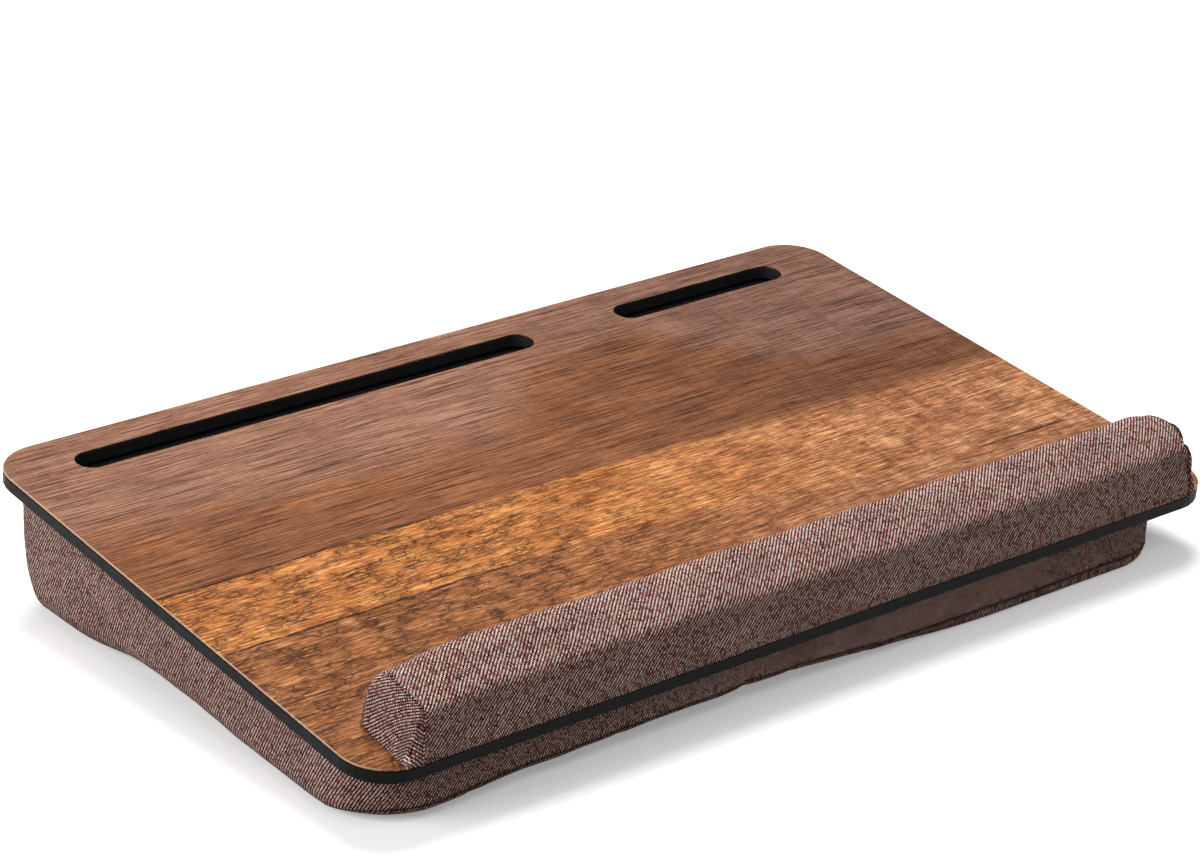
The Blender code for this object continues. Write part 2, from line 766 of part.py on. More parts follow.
def make_slider():
    """Two wings round the teeth, joined by a web in the gap, with a bail on top."""
    outer = teeth_outer() + CLEARANCE
    edge = outer + SLIDER_FLANGE
    web = SLIDER_WEB / 2
    top = wing_top()
    roof = top - SLIDER_WING
    sole_top = -ZIP_TAPE_SET_IN - ZIP_TAPE_THICKNESS - CLEARANCE
    sole = sole_top - SLIDER_WING
    right_half = [
        (edge, top), (edge, teeth_low()), (outer, teeth_low()), (outer, roof),
        (web, roof), (web, sole_top), (edge, sole_top), (edge, sole),
    ]
    left_half = [(-y, z) for y, z in reversed(right_half)]
    body = plate_mesh("zip_slider", [right_half + left_half],
                      -SLIDER_LENGTH / 2, SLIDER_LENGTH / 2, SLIDER_ROUND)
    across = Matrix(((0, 0, 1, 0), (1, 0, 0, 0), (0, 1, 0, 0), (0, 0, 0, 1)))
    body.transform(Matrix.Translation((slider_rest(), 0, 0)) @ across)
    slider = add_object("zip_slider", body, "zip_metal", zip_frame, (slider_rest(), 0, 0))
    half = BAIL_LENGTH / 2
    inner = half - BAIL_POST
    room = top + BAIL_ROOM
    foot = top - SLIDER_WING / 2
    bridge = [
        (half, foot), (half, room + BAIL_TOP), (-half, room + BAIL_TOP), (-half, foot),
        (-inner, foot), (-inner, room), (inner, room), (inner, foot),
    ]
    bail = plate_mesh("bail", [bridge], -BAIL_WIDTH / 2, BAIL_WIDTH / 2, SLIDER_ROUND)
    upright = Matrix.Rotation(math.pi / 2, 4, "X")
    bail.transform(Matrix.Translation((slider_rest(), 0, 0)) @ upright)
    boolean(slider, cutter_from(bail, "bail", zip_frame), "UNION")


def make_pull_tab():
    """A tab whose cross bar turns under the bail."""
    bar = PULL_THICKNESS / 2
    start = slider_rest() - bar
    eye_start = slider_rest() + bar
    half = PULL_WIDTH / 2
    tab = outline(start, start + PULL_LENGTH, -half, half, half / 2)
    eye = rectangle(eye_start, eye_start + PULL_EYE_LENGTH,
                    -PULL_EYE_WIDTH / 2, PULL_EYE_WIDTH / 2)
    axis = pull_axis_height()
    mesh = plate_mesh("zip_pull_tab", [points_of(tab), eye], axis - bar, axis + bar, PULL_ROUND)
    add_object("zip_pull_tab", mesh, "zip_metal", zip_frame, (slider_rest(), 0, axis))


clear_scene()
parts = make_collection("lap_desk")
cutters = make_collection("cutters")
finishes = {name: make_finish(name) for name in FINISHES}

# The zip's bail reaches furthest to the rear, and the board's front edge to the front.
zip_out = cushion_rear() + zip_reach()
overall_depth = zip_out * math.cos(BOARD_TILT) - zip_middle_height() * math.sin(BOARD_TILT)
raised = Matrix.Translation((0, -overall_depth / 2, FRONT_HEIGHT))
board = make_empty("board_frame", None, raised @ Matrix.Rotation(BOARD_TILT, 4, "X"))
facing_rear = Matrix(((-1, 0, 0, 0), (0, 0, 1, 0), (0, 1, 0, 0), (0, 0, 0, 1)))
zip_place = Matrix.Translation((0, cushion_rear(), zip_middle_height())) @ facing_rear
zip_frame = make_empty("zip_frame", board, zip_place)

make_board()
make_rest_cover()
make_rest_core()
make_cover()
make_filling()
make_lining()
make_zip_chain()
make_slider()
make_pull_tab()
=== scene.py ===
import math

import bmesh
import bpy
from mathutils import Matrix, Vector, noise
from mathutils.bvhtree import BVHTree
from mathutils.kdtree import KDTree


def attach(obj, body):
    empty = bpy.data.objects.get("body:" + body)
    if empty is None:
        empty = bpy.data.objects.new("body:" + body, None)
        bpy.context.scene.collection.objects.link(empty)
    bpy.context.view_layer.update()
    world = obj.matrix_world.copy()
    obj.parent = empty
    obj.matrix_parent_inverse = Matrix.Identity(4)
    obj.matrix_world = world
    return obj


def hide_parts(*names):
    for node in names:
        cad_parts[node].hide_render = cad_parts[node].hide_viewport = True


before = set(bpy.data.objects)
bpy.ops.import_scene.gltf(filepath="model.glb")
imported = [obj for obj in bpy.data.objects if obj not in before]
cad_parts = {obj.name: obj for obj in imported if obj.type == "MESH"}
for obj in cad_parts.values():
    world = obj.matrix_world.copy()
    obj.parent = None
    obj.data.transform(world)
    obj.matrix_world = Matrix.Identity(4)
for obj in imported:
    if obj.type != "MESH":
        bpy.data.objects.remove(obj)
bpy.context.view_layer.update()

# Printed sheet: a thin decor sheet on the board, cut through at the two slots.
# Its print shows old planks: a grey-brown one at the rear, a brighter one in the middle
# and a mid-brown one in front, with fine streaks, cracks and a line where they meet.

# Every piece is drawn in the board's own frame, as in the part's source: its origin is
# on the board's top face at the middle of the front edge, +X right, +Y rear, +Z out.
OVERALL_DEPTH = 0.3477286
FRONT_HEIGHT = 0.037
BOARD_TILT = math.radians(7.05)
BOARD_WIDTH = 0.546
BOARD_DEPTH = 0.345
MILLIMETRE = 0.001

board_place = (
    Matrix.Translation((0, -OVERALL_DEPTH / 2, FRONT_HEIGHT))
    @ Matrix.Rotation(BOARD_TILT, 4, "X")
)


def shade(red, green, blue):
    """A linear colour from the 0 to 255 values that a screen shows."""
    def linear(value):
        value /= 255
        return value / 12.92 if value <= 0.04045 else ((value + 0.055) / 1.055) ** 2.4
    return (linear(red), linear(green), linear(blue), 1)


class Finish:
    """A material, with the few kinds of node that this desk's finishes are made of."""

    def __init__(self, name, constants):
        self.material = bpy.data.materials.new(name)
        self.material.use_nodes = True
        self.tree = self.material.node_tree
        self.shader = self.tree.nodes["Principled BSDF"]
        for socket, value in constants.items():
            self.shader.inputs[socket].default_value = value

    def join(self, value, socket):
        if isinstance(value, bpy.types.NodeSocket):
            self.tree.links.new(value, socket)
        else:
            socket.default_value = value

    def node(self, kind, inputs=None, **settings):
        node = self.tree.nodes.new("ShaderNode" + kind)
        for name, value in settings.items():
            setattr(node, name, value)
        for name, value in (inputs or {}).items():
            self.join(value, node.inputs[name])
        return node

    def sum(self, operation, *values):
        """One step of arithmetic."""
        return self.node("Math", dict(enumerate(values)), operation=operation).outputs[0]

    def around(self, layer, weight, middle=0.5):
        """A value moved by a layer of noise, which lies around a half, times its weight."""
        return self.sum("MULTIPLY_ADD", self.sum("SUBTRACT", layer, 0.5), weight, middle)

    def span(self, value, low, high, start=0, end=1):
        """Goes smoothly from start to end while the value goes from low to high."""
        inputs = {"Value": value, "From Min": low, "From Max": high,
                  "To Min": start, "To Max": end}
        node = self.node("MapRange", inputs, interpolation_type="SMOOTHSTEP")
        return node.outputs["Result"]

    def tint(self, share, under, over, way="MIX"):
        """One colour over another."""
        node = self.node("Mix", {0: share, 6: under, 7: over}, data_type="RGBA", blend_type=way)
        return node.outputs[2]

    def ramp(self, value, stops):
        """A colour for each value, from its stops."""
        node = self.node("ValToRGB", {"Fac": value})
        elements = node.color_ramp.elements
        elements[0].position, elements[0].color = stops[0]
        elements[1].position, elements[1].color = stops[-1]
        for position, colour in stops[1:-1]:
            elements.new(position).color = colour
        return node.outputs["Color"]

    def cloud(self, place, scale, detail=2, roughness=0.5):
        """Noise over a place; scale is per unit along each axis."""
        stretched = self.node("Mapping", {"Vector": place, "Scale": scale}).outputs[0]
        inputs = {"Vector": stretched, "Scale": 1, "Detail": detail, "Roughness": roughness}
        return self.node("TexNoise", inputs).outputs["Fac"]

    def apart(self, place):
        node = self.node("SeparateXYZ", {0: place})
        return node.outputs[0], node.outputs[1], node.outputs[2]

    def together(self, x, y, z=0):
        return self.node("CombineXYZ", {0: x, 1: y, 2: z}).outputs[0]

    def on_board(self):
        """The place in the board's own frame, in millimetres."""
        place = self.node("TexCoord").outputs["Object"]
        inputs = {"Vector": place, "Location": board_place.translation,
                  "Rotation": (BOARD_TILT, 0, 0), "Scale": (MILLIMETRE,) * 3}
        return self.node("Mapping", inputs, vector_type="TEXTURE").outputs[0]

    def colour(self, value):
        self.join(value, self.shader.inputs["Base Color"])

    def roughness(self, value):
        self.join(value, self.shader.inputs["Roughness"])

    def relief(self, height, distance):
        """Bump from a height of 0 to 1, and the real distance that it stands for."""
        bump = self.node("Bump", {"Height": height, "Distance": distance})
        self.join(bump.outputs[0], self.shader.inputs["Normal"])


def grained(finish, grain, low, high, relief):
    """A finish whose grain runs from one colour to another, with stops of (tone, colour)."""
    finish.colour(finish.ramp(grain, (low, high)))
    finish.relief(grain, relief)
    return finish


def dress(node, finish):
    """Gives a CAD node its better material."""
    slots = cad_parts[node].material_slots
    for slot in slots:
        slot.material = finish.material
    if not slots:
        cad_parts[node].data.materials.append(finish.material)


REAR_PLANK = ((0, shade(80, 48, 34)), (0.3, shade(118, 79, 60)),
              (0.65, shade(149, 104, 82)), (1, shade(182, 134, 108)))
WARM_PLANK = ((0, shade(66, 32, 14)), (0.35, shade(108, 62, 34)),
              (0.65, shade(134, 80, 46)), (1, shade(168, 108, 66)))
MIDDLE_PLANK = ((0, shade(98, 50, 22)), (0.3, shade(160, 92, 42)),
                (0.62, shade(206, 130, 68)), (1, shade(250, 188, 114)))
FRONT_PLANK = ((0, shade(78, 40, 20)), (0.35, shade(138, 82, 44)),
               (0.65, shade(176, 112, 66)), (1, shade(220, 158, 102)))
PALE_PLANK = ((0, shade(88, 52, 36)), (0.3, shade(146, 96, 70)),
              (0.62, shade(182, 130, 98)), (1, shade(226, 180, 146)))
SHEET_RIM = shade(214, 176, 152)
SHEET_RIM_WIDTH = 0.5
BOARD_CORNER_RADIUS = 0.025
CRACK = shade(46, 24, 15)
# Each crack: its distance from the front, where it starts and ends, and half its width.
CRACKS = ((95, 182, 268, 0.6), (265, 62, 100, 0.45), (215, 115, 165, 0.45),
          (181, -280, -90, 0.75), (122.5, -280, -70, 0.7), (252, -150, -60, 0.4),
          (60, -20, 60, 0.45), (300, 210, 262, 0.35), (160, 176, 236, 0.35))


def printed_wood():
    wood = Finish("printed_wood_planks", {"Specular IOR Level": 0.15})
    place = wood.on_board()
    x, y, _ = wood.apart(place)
    slow = wood.cloud(place, (0.006, 0.018, 0), 2)
    quick = wood.cloud(place, (0.035, 0.09, 0), 3, 0.6)
    bent = wood.sum("ADD", y, wood.sum("MULTIPLY_ADD", slow, 9, -4.5))
    bent = wood.sum("ADD", bent, wood.sum("MULTIPLY_ADD", quick, 2.2, -1.1))
    along = wood.together(x, bent)

    def of(*layers):
        """Tone around a half from layers of (noise, weight)."""
        tone = 0.5
        for layer, weight in layers:
            tone = wood.around(layer, weight, tone)
        return tone

    near_right = wood.span(x, -60, 200)
    streaks = wood.cloud(along, (0.008, 0.28, 0), 3, 0.7)
    fine = wood.cloud(along, (0.018, 1.15, 0), 3, 0.75)
    mottle = wood.cloud(place, (0.022, 0.05, 0), 3, 0.55)
    grain = wood.cloud(along, (0.075, 0.75, 0), 4, 0.75)
    saw = wood.cloud(place, (0.16, 0.012, 0), 2, 0.6)
    flecks = wood.cloud(along, (0.26, 0.9, 4), 3, 0.7)
    sawn = wood.sum("MULTIPLY_ADD", near_right, 0.2, 0.1)
    sawn = wood.sum("MULTIPLY", wood.sum("SUBTRACT", saw, 0.5), sawn)
    calm = of((streaks, 0.28), (fine, 1.1), (mottle, 0.3), (wood.span(fine, 0.38, 0.45), 0.14))
    calm = wood.span(wood.sum("ADD", calm, wood.sum("MULTIPLY", sawn, 0.6)), 0.2, 0.8)

    # Thin dark lines follow the grain, as the pores of the real wood do.
    rings = wood.cloud(along, (0.009, 0.3, 6), 2, 0.55)
    off_line = wood.sum("PINGPONG", wood.sum("MULTIPLY", rings, 14), 0.5)
    lines = wood.span(off_line, 0.03, 0.17, 1, 0)
    lines = wood.sum("MULTIPLY", lines, wood.span(flecks, 0.4, 0.6))
    calm = wood.sum("MULTIPLY_ADD", lines, -0.34, calm)
    rough_cut = of((grain, 1.25), (streaks, 0.32), (mottle, 0.34), (fine, 0.6))
    rough_cut = wood.span(wood.sum("ADD", rough_cut, sawn), 0.14, 0.86)
    bright = wood.span(flecks, 0.55, 0.66)
    bright = wood.sum("MULTIPLY", bright, wood.span(near_right, 0, 1, 0.2, 0.06))
    rough_cut = wood.sum("ADD", bright, rough_cut)
    rough_cut = wood.sum("MULTIPLY_ADD", lines, -0.2, rough_cut)

    # The old planks are crazed: short dark checks that run with the grain.
    nudge = wood.node("TexNoise", {"Vector": place, "Scale": 0.5, "Detail": 2}).outputs["Color"]
    nudge = wood.node("VectorMath", {0: nudge, 1: (4.0, 2.2, 0)}, operation="MULTIPLY").outputs[0]
    shaken = wood.node("VectorMath", {0: along, 1: nudge}, operation="ADD").outputs[0]

    def crazing(scale, width):
        scaled = wood.node("Mapping", {"Vector": shaken, "Scale": scale}).outputs[0]
        cells = wood.node("TexVoronoi", {"Vector": scaled, "Scale": 1}, feature="DISTANCE_TO_EDGE")
        return wood.span(cells.outputs["Distance"], 0, width, 1, 0)

    checks = wood.sum("MULTIPLY", crazing((0.10, 0.28, 0), 0.12), 0.9)
    checks = wood.sum("MAXIMUM", checks, wood.sum("MULTIPLY", crazing((0.2, 0.7, 0), 0.2), 0.55))
    check_mask = wood.span(wood.cloud(place, (0.06, 0.1, 8), 3, 0.6), 0.40, 0.56)
    checks = wood.sum("MULTIPLY", checks, check_mask)
    checks = wood.sum("MULTIPLY", checks, wood.span(x, -120, 60, 0.95, 0.5))

    # The rear plank is warmer towards its front, more so on the left, and every plank is
    # greyer and paler towards the right.
    warm_edge = wood.sum("MULTIPLY_ADD", x, -0.06, 232)
    # Between the middle and the shorter slot the print is warm almost to the rear.
    warm_spot = wood.sum("MULTIPLY", wood.span(x, -40, 60), wood.span(x, 90, 190, 1, 0))
    warm_edge = wood.sum("MULTIPLY_ADD", warm_spot, 70, warm_edge)
    warm_edge = wood.around(mottle, 60, warm_edge)
    warm = wood.span(wood.sum("SUBTRACT", y, warm_edge), -24, 24, 0.95, 0)
    rear = wood.tint(warm, wood.ramp(calm, REAR_PLANK), wood.ramp(calm, WARM_PLANK))
    rear = wood.tint(near_right, rear, wood.tint(1.0, rear, shade(212, 214, 222), "MULTIPLY"))
    pale = wood.ramp(rough_cut, PALE_PLANK)
    faded = wood.around(mottle, 0.3, 0.56)
    faded = wood.sum("MULTIPLY", faded, near_right)
    middle = wood.tint(faded, wood.ramp(rough_cut, MIDDLE_PLANK), pale)
    front = wood.tint(faded, wood.ramp(rough_cut, FRONT_PLANK), pale)
    rear_joint = wood.sum("MULTIPLY_ADD", near_right, -9, 181)
    front_joint = wood.sum("MULTIPLY_ADD", near_right, -30, 122)
    nudged = wood.sum("ADD", y, wood.sum("MULTIPLY_ADD", quick, 4, -2))
    soft = wood.span(x, -60, 120, 0.8, 9)
    to_rear = wood.sum("DIVIDE", wood.sum("SUBTRACT", nudged, rear_joint), soft)
    to_front = wood.sum("DIVIDE", wood.sum("SUBTRACT", nudged, front_joint),
                        wood.sum("MULTIPLY", soft, 2))
    checks = wood.sum("MULTIPLY", checks, wood.span(to_rear, -1, 1, 1, 0.12))
    planks = wood.tint(wood.span(to_front, -1, 1), front, middle)
    planks = wood.tint(wood.span(to_rear, -1, 1), planks, rear)

    # Cracks wander with the grain and are broken here and there.
    broken = wood.span(wood.cloud(along, (0.12, 0.3, 0), 2), 0.36, 0.5, 0.45, 1)
    cracked = 0
    for from_front, start, end, half in CRACKS:
        off = wood.sum("ABSOLUTE", wood.sum("SUBTRACT", nudged, from_front))
        line = wood.span(off, half * 0.5, half * 2.0, 0.95, 0)
        line = wood.sum("MULTIPLY", line, wood.span(x, start, start + 12))
        line = wood.sum("MULTIPLY", line, wood.span(x, end - 30, end, 1, 0))
        cracked = wood.sum("MAXIMUM", cracked, line)
    cracked = wood.sum("MAXIMUM", wood.sum("MULTIPLY", cracked, broken), checks)
    print_colour = wood.tint(cracked, planks, CRACK)

    # The sheet's cut rim is paler, and worn through to it along the board's outline.
    radius = BOARD_CORNER_RADIUS / MILLIMETRE
    half_width = BOARD_WIDTH / MILLIMETRE / 2 - radius
    half_depth = BOARD_DEPTH / MILLIMETRE / 2 - radius
    past_x = wood.sum("MAXIMUM", wood.sum("SUBTRACT", wood.sum("ABSOLUTE", x), half_width), 0)
    past_y = wood.sum("SUBTRACT", y, half_depth + radius)
    past_y = wood.sum("MAXIMUM", wood.sum("SUBTRACT", wood.sum("ABSOLUTE", past_y), half_depth), 0)
    past = wood.sum("SQRT", wood.sum("MULTIPLY_ADD", past_x, past_x,
                                     wood.sum("MULTIPLY", past_y, past_y)))
    on_rim = wood.span(past, radius - SHEET_RIM_WIDTH - 0.2, radius - SHEET_RIM_WIDTH + 0.1)
    # Along the front the pale rim is mostly painted out: painted shade where the wrist rest shades
    # it.
    clear_of_rest_shade = wood.span(y, 3, 12)
    on_rim = wood.sum("MULTIPLY", on_rim, wood.sum("MULTIPLY_ADD", clear_of_rest_shade, 0.72, 0.1))
    wood.colour(wood.tint(on_rim, print_colour, SHEET_RIM))
    wood.roughness(wood.span(rough_cut, 0, 1, 0.52, 0.4))
    wood.relief(wood.sum("SUBTRACT", calm, cracked), 0.00026)
    return wood


dress("wood_laminate", printed_wood())


# Panel and edge band: black fibreboard inside, cut through at the slots, and a black
# plastic band glued round its edge, with a slight sheen and faint scuffs.

def black_panel():
    panel = Finish("black_fibreboard", {"Specular IOR Level": 0.4})
    place = panel.on_board()
    fibres = panel.cloud(place, (1.2, 1.2, 2.5), 4, 0.7)
    panel.roughness(panel.span(fibres, 0.3, 0.7, 0.55, 0.75))
    return grained(panel, fibres, (0.2, shade(17, 16, 17)), (0.8, shade(40, 38, 38)), 0.00008)


def black_edge():
    edge = Finish("black_edge_plastic", {"Specular IOR Level": 0.07})
    place = edge.on_board()
    pebble = edge.cloud(place, (2.4, 2.4, 2.4), 2, 0.5)
    scuffs = edge.cloud(place, (0.09, 0.09, 1.4), 4, 0.65)
    edge.colour(edge.ramp(scuffs, ((0.3, shade(6, 6, 7)), (0.75, shade(19, 19, 20)))))
    edge.roughness(edge.span(scuffs, 0.3, 0.7, 0.42, 0.58))
    edge.relief(pebble, 0.00004)
    return edge


dress("board_core", black_panel())
dress("edge_band", black_edge())


# Cushion cover: tweed sewn from a band round the sides and a panel underneath, with one
# seam just above the surface it stands on. The filling swells it between its held edges.

BOARD_THICKNESS = 0.0078
# Room between pieces that touch.
ROOM = 0.0003
COVER_THICKNESS = 0.0015
CUSHION_LEFT = 0.004 - BOARD_WIDTH / 2
CUSHION_RIGHT = BOARD_WIDTH / 2 - 0.0205
CUSHION_FRONT = 0.006
CUSHION_REAR = BOARD_DEPTH - 0.005
CUSHION_TOP = -BOARD_THICKNESS - ROOM
CUSHION_CORNER = 0.038
TOP_TUCK = 0.0025
TOP_TUCK_SHARE = 0.25
LOWER_ROUND_SHARE = 0.35
CORNER_START_SHARE = 0.31
CORNER_DEPTH_SHARE = 0.3
CORNER_FULL_HEIGHT = 0.070
VALLEY_HEIGHT, VALLEY_FRONT, VALLEY_MIDDLE, VALLEY_REAR = 0.008, 0.055, 0.200, 0.262
ARCH_HEIGHT, ARCH_FROM_LEFT, ARCH_HALF_WIDTH, ARCH_DEPTH = 0.007, 0.190, 0.150, 0.085
SEAM_SHARE = 0.9
FRONT_SEAM_SHARE = 0.75
# The front of the underside isn't quite even: raised spots, from the left side.
FRONT_RAISE = ((0, 0.0010), (0.020, 0.0018), (0.045, 0.0022), (0.087, 0.0042),
               (0.120, 0.0022), (0.160, 0.0010), (0.210, 0.0006), (0.235, 0.0027),
               (0.262, 0.0038), (0.290, 0.0031), (0.320, 0.0016), (0.360, 0), (1, 0))
FRONT_RAISE_DEPTH = 0.060
# Towards the right the front is fuller below.
FULL_FROM, FULL_TO, FULL_ROUND_SHARE = 0.310, 0.400, 0.10
LEFT_ROUND_SHARE, FRONT_ROUND_SHARE = 0.055, 0.05
# The rear left corner is rounder below than the others.
REAR_LEFT, REAR_LEFT_REACH = 140, 24
REAR_LEFT_START_SHARE, REAR_LEFT_DEPTH_SHARE = 0.12, 0.06
# The top edge flares out under the board's corners: where on the corner, and how far.
FLARES = ((155, 0.0070), (-40, 0.0015))
FLARE_REACH, FLARE_HEIGHT = 38, 0.0042
COVER_LUMPS = 0.0009
# Lumps per metre of the cushion, in plan and down its sides: the slow and the quick ones.
SLOW_LUMPS, QUICK_LUMPS, QUICK_LUMP_SHARE = (19, 26), (60, 75), 0.4
# Small tucks that the seam draws in the front of the band, from the left side.
TUCKS = ((0.229, 0.0014), (0.258, 0.0010), (0.309, 0.0010), (0.064, 0.0007), (0.150, 0.0007))
TUCK_REACH = 0.0028
TUCK_LEAN = 0.006
# The cover lies flat round the zip, out to here, and swells again over the next stretch.
FLAT_AT_ZIP, FLAT_AT_ZIP_FADE = 0.25, 0.03
ZIP_HALF_LENGTH = 0.200
ZIP_HALF_HEIGHT = 0.011
ZIP_DEPTH_SHARE = 0.44
CLOTH_STEP = 0.0030
CORNER_CLOTH_STEPS = 20
SPINE_FROM_SIDE = 0.165
UNDER_RINGS = 22
SEAM_DEPTH = 0.0006
SEAM_REACH = 0.0022


def ease(share):
    share = min(max(share, 0), 1)
    return (1 - math.cos(math.pi * share)) / 2


def near(value, middle, reach):
    """1 at the middle, falling away over the reach."""
    return math.exp(-((value - middle) / reach) ** 2)


def between(stops, share):
    """A value read smoothly from stops of (share, value)."""
    for (low, start), (high, end) in zip(stops, stops[1:]):
        if share <= high:
            return start + (end - start) * ease((share - low) / (high - low))
    return stops[-1][1]


def surface_below(y):
    """Height of the surface that the desk stands on, in the board's frame."""
    return -(FRONT_HEIGHT + y * math.sin(BOARD_TILT)) / math.cos(BOARD_TILT)


def underside(x, y):
    if y < VALLEY_MIDDLE:
        valley = ease((y - VALLEY_FRONT) / (VALLEY_MIDDLE - VALLEY_FRONT))
    else:
        valley = ease((VALLEY_REAR - y) / (VALLEY_REAR - VALLEY_MIDDLE))
    from_arch = abs(x + BOARD_WIDTH / 2 - ARCH_FROM_LEFT)
    arch = ease(1 - from_arch / ARCH_HALF_WIDTH) * ease(1 - y / ARCH_DEPTH)
    raised = between(FRONT_RAISE, x + BOARD_WIDTH / 2) * ease(1 - y / FRONT_RAISE_DEPTH)
    return surface_below(y) + VALLEY_HEIGHT * valley + ARCH_HEIGHT * arch + raised


def drawn_in(spot, share, height, way):
    """How far the side stands inside its widest line, at a share of the way down."""
    tuck = TOP_TUCK * max(0, 1 - share / TOP_TUCK_SHARE) ** 2
    angle = math.degrees(math.atan2(way.y, way.x))
    for middle, size in FLARES:
        tuck -= size * near(angle, middle, FLARE_REACH) * math.exp(-share * height / FLARE_HEIGHT)
    corner = abs(2 * way.x * way.y) * height / CORNER_FULL_HEIGHT
    fuller = ease((spot.x + BOARD_WIDTH / 2 - FULL_FROM) / (FULL_TO - FULL_FROM))
    fuller *= ease((-way.y - 0.55) / 0.45)
    rear_left = near(angle, REAR_LEFT, REAR_LEFT_REACH)
    round_share = LOWER_ROUND_SHARE + CORNER_START_SHARE * corner
    round_share += REAR_LEFT_START_SHARE * rear_left
    round_share -= LEFT_ROUND_SHARE * ease((-way.x - 0.9) / 0.1)
    round_share -= FRONT_ROUND_SHARE * ease((-way.y - 0.9) / 0.1)
    round_share += (FULL_ROUND_SHARE - round_share) * fuller
    turn = min(max(0, share - 1 + round_share) / round_share, 1)
    depth = LOWER_ROUND_SHARE * height * (1 + CORNER_DEPTH_SHARE * corner)
    depth *= 1 + REAR_LEFT_DEPTH_SHARE * rear_left
    depth += (FULL_ROUND_SHARE * height - depth) * fuller
    return tuck + depth * (1 - math.sqrt(1 - turn * turn))


def cover_plan():
    """Spots round the cushion, anticlockwise from its right front corner, and the way out.

    The rear run has a spot exactly at each end of the zip's opening.
    """
    left, right = CUSHION_LEFT + CUSHION_CORNER, CUSHION_RIGHT - CUSHION_CORNER
    front, rear = CUSHION_FRONT + CUSHION_CORNER, CUSHION_REAR - CUSHION_CORNER
    corners = ((right, front, -90), (right, rear, 0), (left, rear, 90), (left, front, 180))
    stops = ((), ((ZIP_HALF_LENGTH, CUSHION_REAR), (-ZIP_HALF_LENGTH, CUSHION_REAR)), (), ())
    spots = []
    for number, (x, y, start) in enumerate(corners):
        for step in range(CORNER_CLOTH_STEPS + 1):
            angle = math.radians(start + 90 * step / CORNER_CLOTH_STEPS)
            way = Vector((math.cos(angle), math.sin(angle)))
            spots.append((Vector((x, y)) + CUSHION_CORNER * way, way))
        after_x, after_y, _ = corners[(number + 1) % 4]
        ends = [Vector(stop) for stop in stops[number]]
        ends.append(Vector((after_x, after_y)) + CUSHION_CORNER * way)
        for end in ends:
            begin = spots[-1][0]
            count = max(1, round((end - begin).length / CLOTH_STEP))
            last = count if end is not ends[-1] else count - 1
            for step in range(1, last + 1):
                spots.append((begin.lerp(end, step / count), way))
    return spots


zip_middle = CUSHION_TOP - ZIP_DEPTH_SHARE * (CUSHION_TOP - surface_below(CUSHION_REAR))


def zip_share(offset):
    """The share of the way down the rear side of a height near the zip's middle."""
    height = CUSHION_TOP - surface_below(CUSHION_REAR)
    return ZIP_DEPTH_SHARE + offset / height


BAND_SHARES = (
    0, 0.015, 0.035, 0.065, 0.1, 0.14, 0.18, 0.22, 0.255, zip_share(-ZIP_HALF_HEIGHT),
    0.325, 0.365, 0.405, 0.445, 0.485, 0.525, 0.56, zip_share(ZIP_HALF_HEIGHT),
    0.63, 0.665, 0.7, 0.735, 0.765, 0.795, 0.82, 0.842, 0.862, 0.879, 0.891, SEAM_SHARE,
)
PANEL_SHARES = (0.909, 0.921, 0.936, 0.951, 0.965, 0.978, 0.99, 1)


def seam_moved(share, way):
    """In front the seam runs higher, and the rows beside it go with it."""
    seam = SEAM_SHARE + (FRONT_SEAM_SHARE - SEAM_SHARE) * ease(-way.y)
    if share <= SEAM_SHARE:
        return share * seam / SEAM_SHARE
    return seam + (share - SEAM_SHARE) * (1 - seam) / (1 - SEAM_SHARE)


def cover_point(spot, way, share):
    share = seam_moved(share, way)
    height = CUSHION_TOP - underside(*spot)
    inward = drawn_in(spot, share, height, way)
    if way.y < -0.5:
        for from_left, size in TUCKS:
            lean = (share - SEAM_SHARE) * TUCK_LEAN
            tuck = near(spot.x + BOARD_WIDTH / 2 + lean, from_left, TUCK_REACH)
            inward += size * tuck * ease((share - 0.2) / 0.5)
    held = ease(share / 0.2) * ease((1 - share) / 0.1)
    held *= 1 - ease(way.y) * ease((FLAT_AT_ZIP - abs(spot.x)) / FLAT_AT_ZIP_FADE)
    level = CUSHION_TOP - share * height
    slow, quick = (
        noise.noise(Vector((spot.x * across, spot.y * across, level * down)))
        for across, down in (SLOW_LUMPS, QUICK_LUMPS)
    )
    inward -= COVER_LUMPS * (slow + QUICK_LUMP_SHARE * quick) * held
    place = spot - inward * way
    low = underside(*place)
    return Vector((*place, CUSHION_TOP - share * (CUSHION_TOP - low)))


def cloth_rows():
    """The cover's points in rows from the top edge down the sides and in under the cushion."""
    plan = cover_plan()
    rows = [[cover_point(spot, way, share) for spot, way in plan]
            for share in BAND_SHARES + PANEL_SHARES]
    edge = rows[-1]
    spine_left, spine_right = CUSHION_LEFT + SPINE_FROM_SIDE, CUSHION_RIGHT - SPINE_FROM_SIDE
    spine_y = (CUSHION_FRONT + CUSHION_REAR) / 2
    for step in range(1, UNDER_RINGS + 1):
        share = step / UNDER_RINGS
        row = []
        for point in edge:
            spine = Vector((min(max(point.x, spine_left), spine_right), spine_y, 0))
            spot = point.lerp(spine, share)
            spot.z = underside(spot.x, spot.y)
            row.append(spot)
        rows.append(row)
    return plan, rows


def made_mesh(name, bm):
    mesh = bpy.data.meshes.new(name)
    bm.to_mesh(mesh)
    bm.free()
    return mesh


def in_scene(name, data):
    made = bpy.data.objects.new(name, data)
    bpy.context.scene.collection.objects.link(made)
    return made


def merge_points(mesh):
    """Closes a mesh where its rows of points run together."""
    bm = bmesh.new()
    bm.from_mesh(mesh)
    bmesh.ops.remove_doubles(bm, verts=bm.verts, dist=SAME_POINT)
    bm.to_mesh(mesh)
    bm.free()


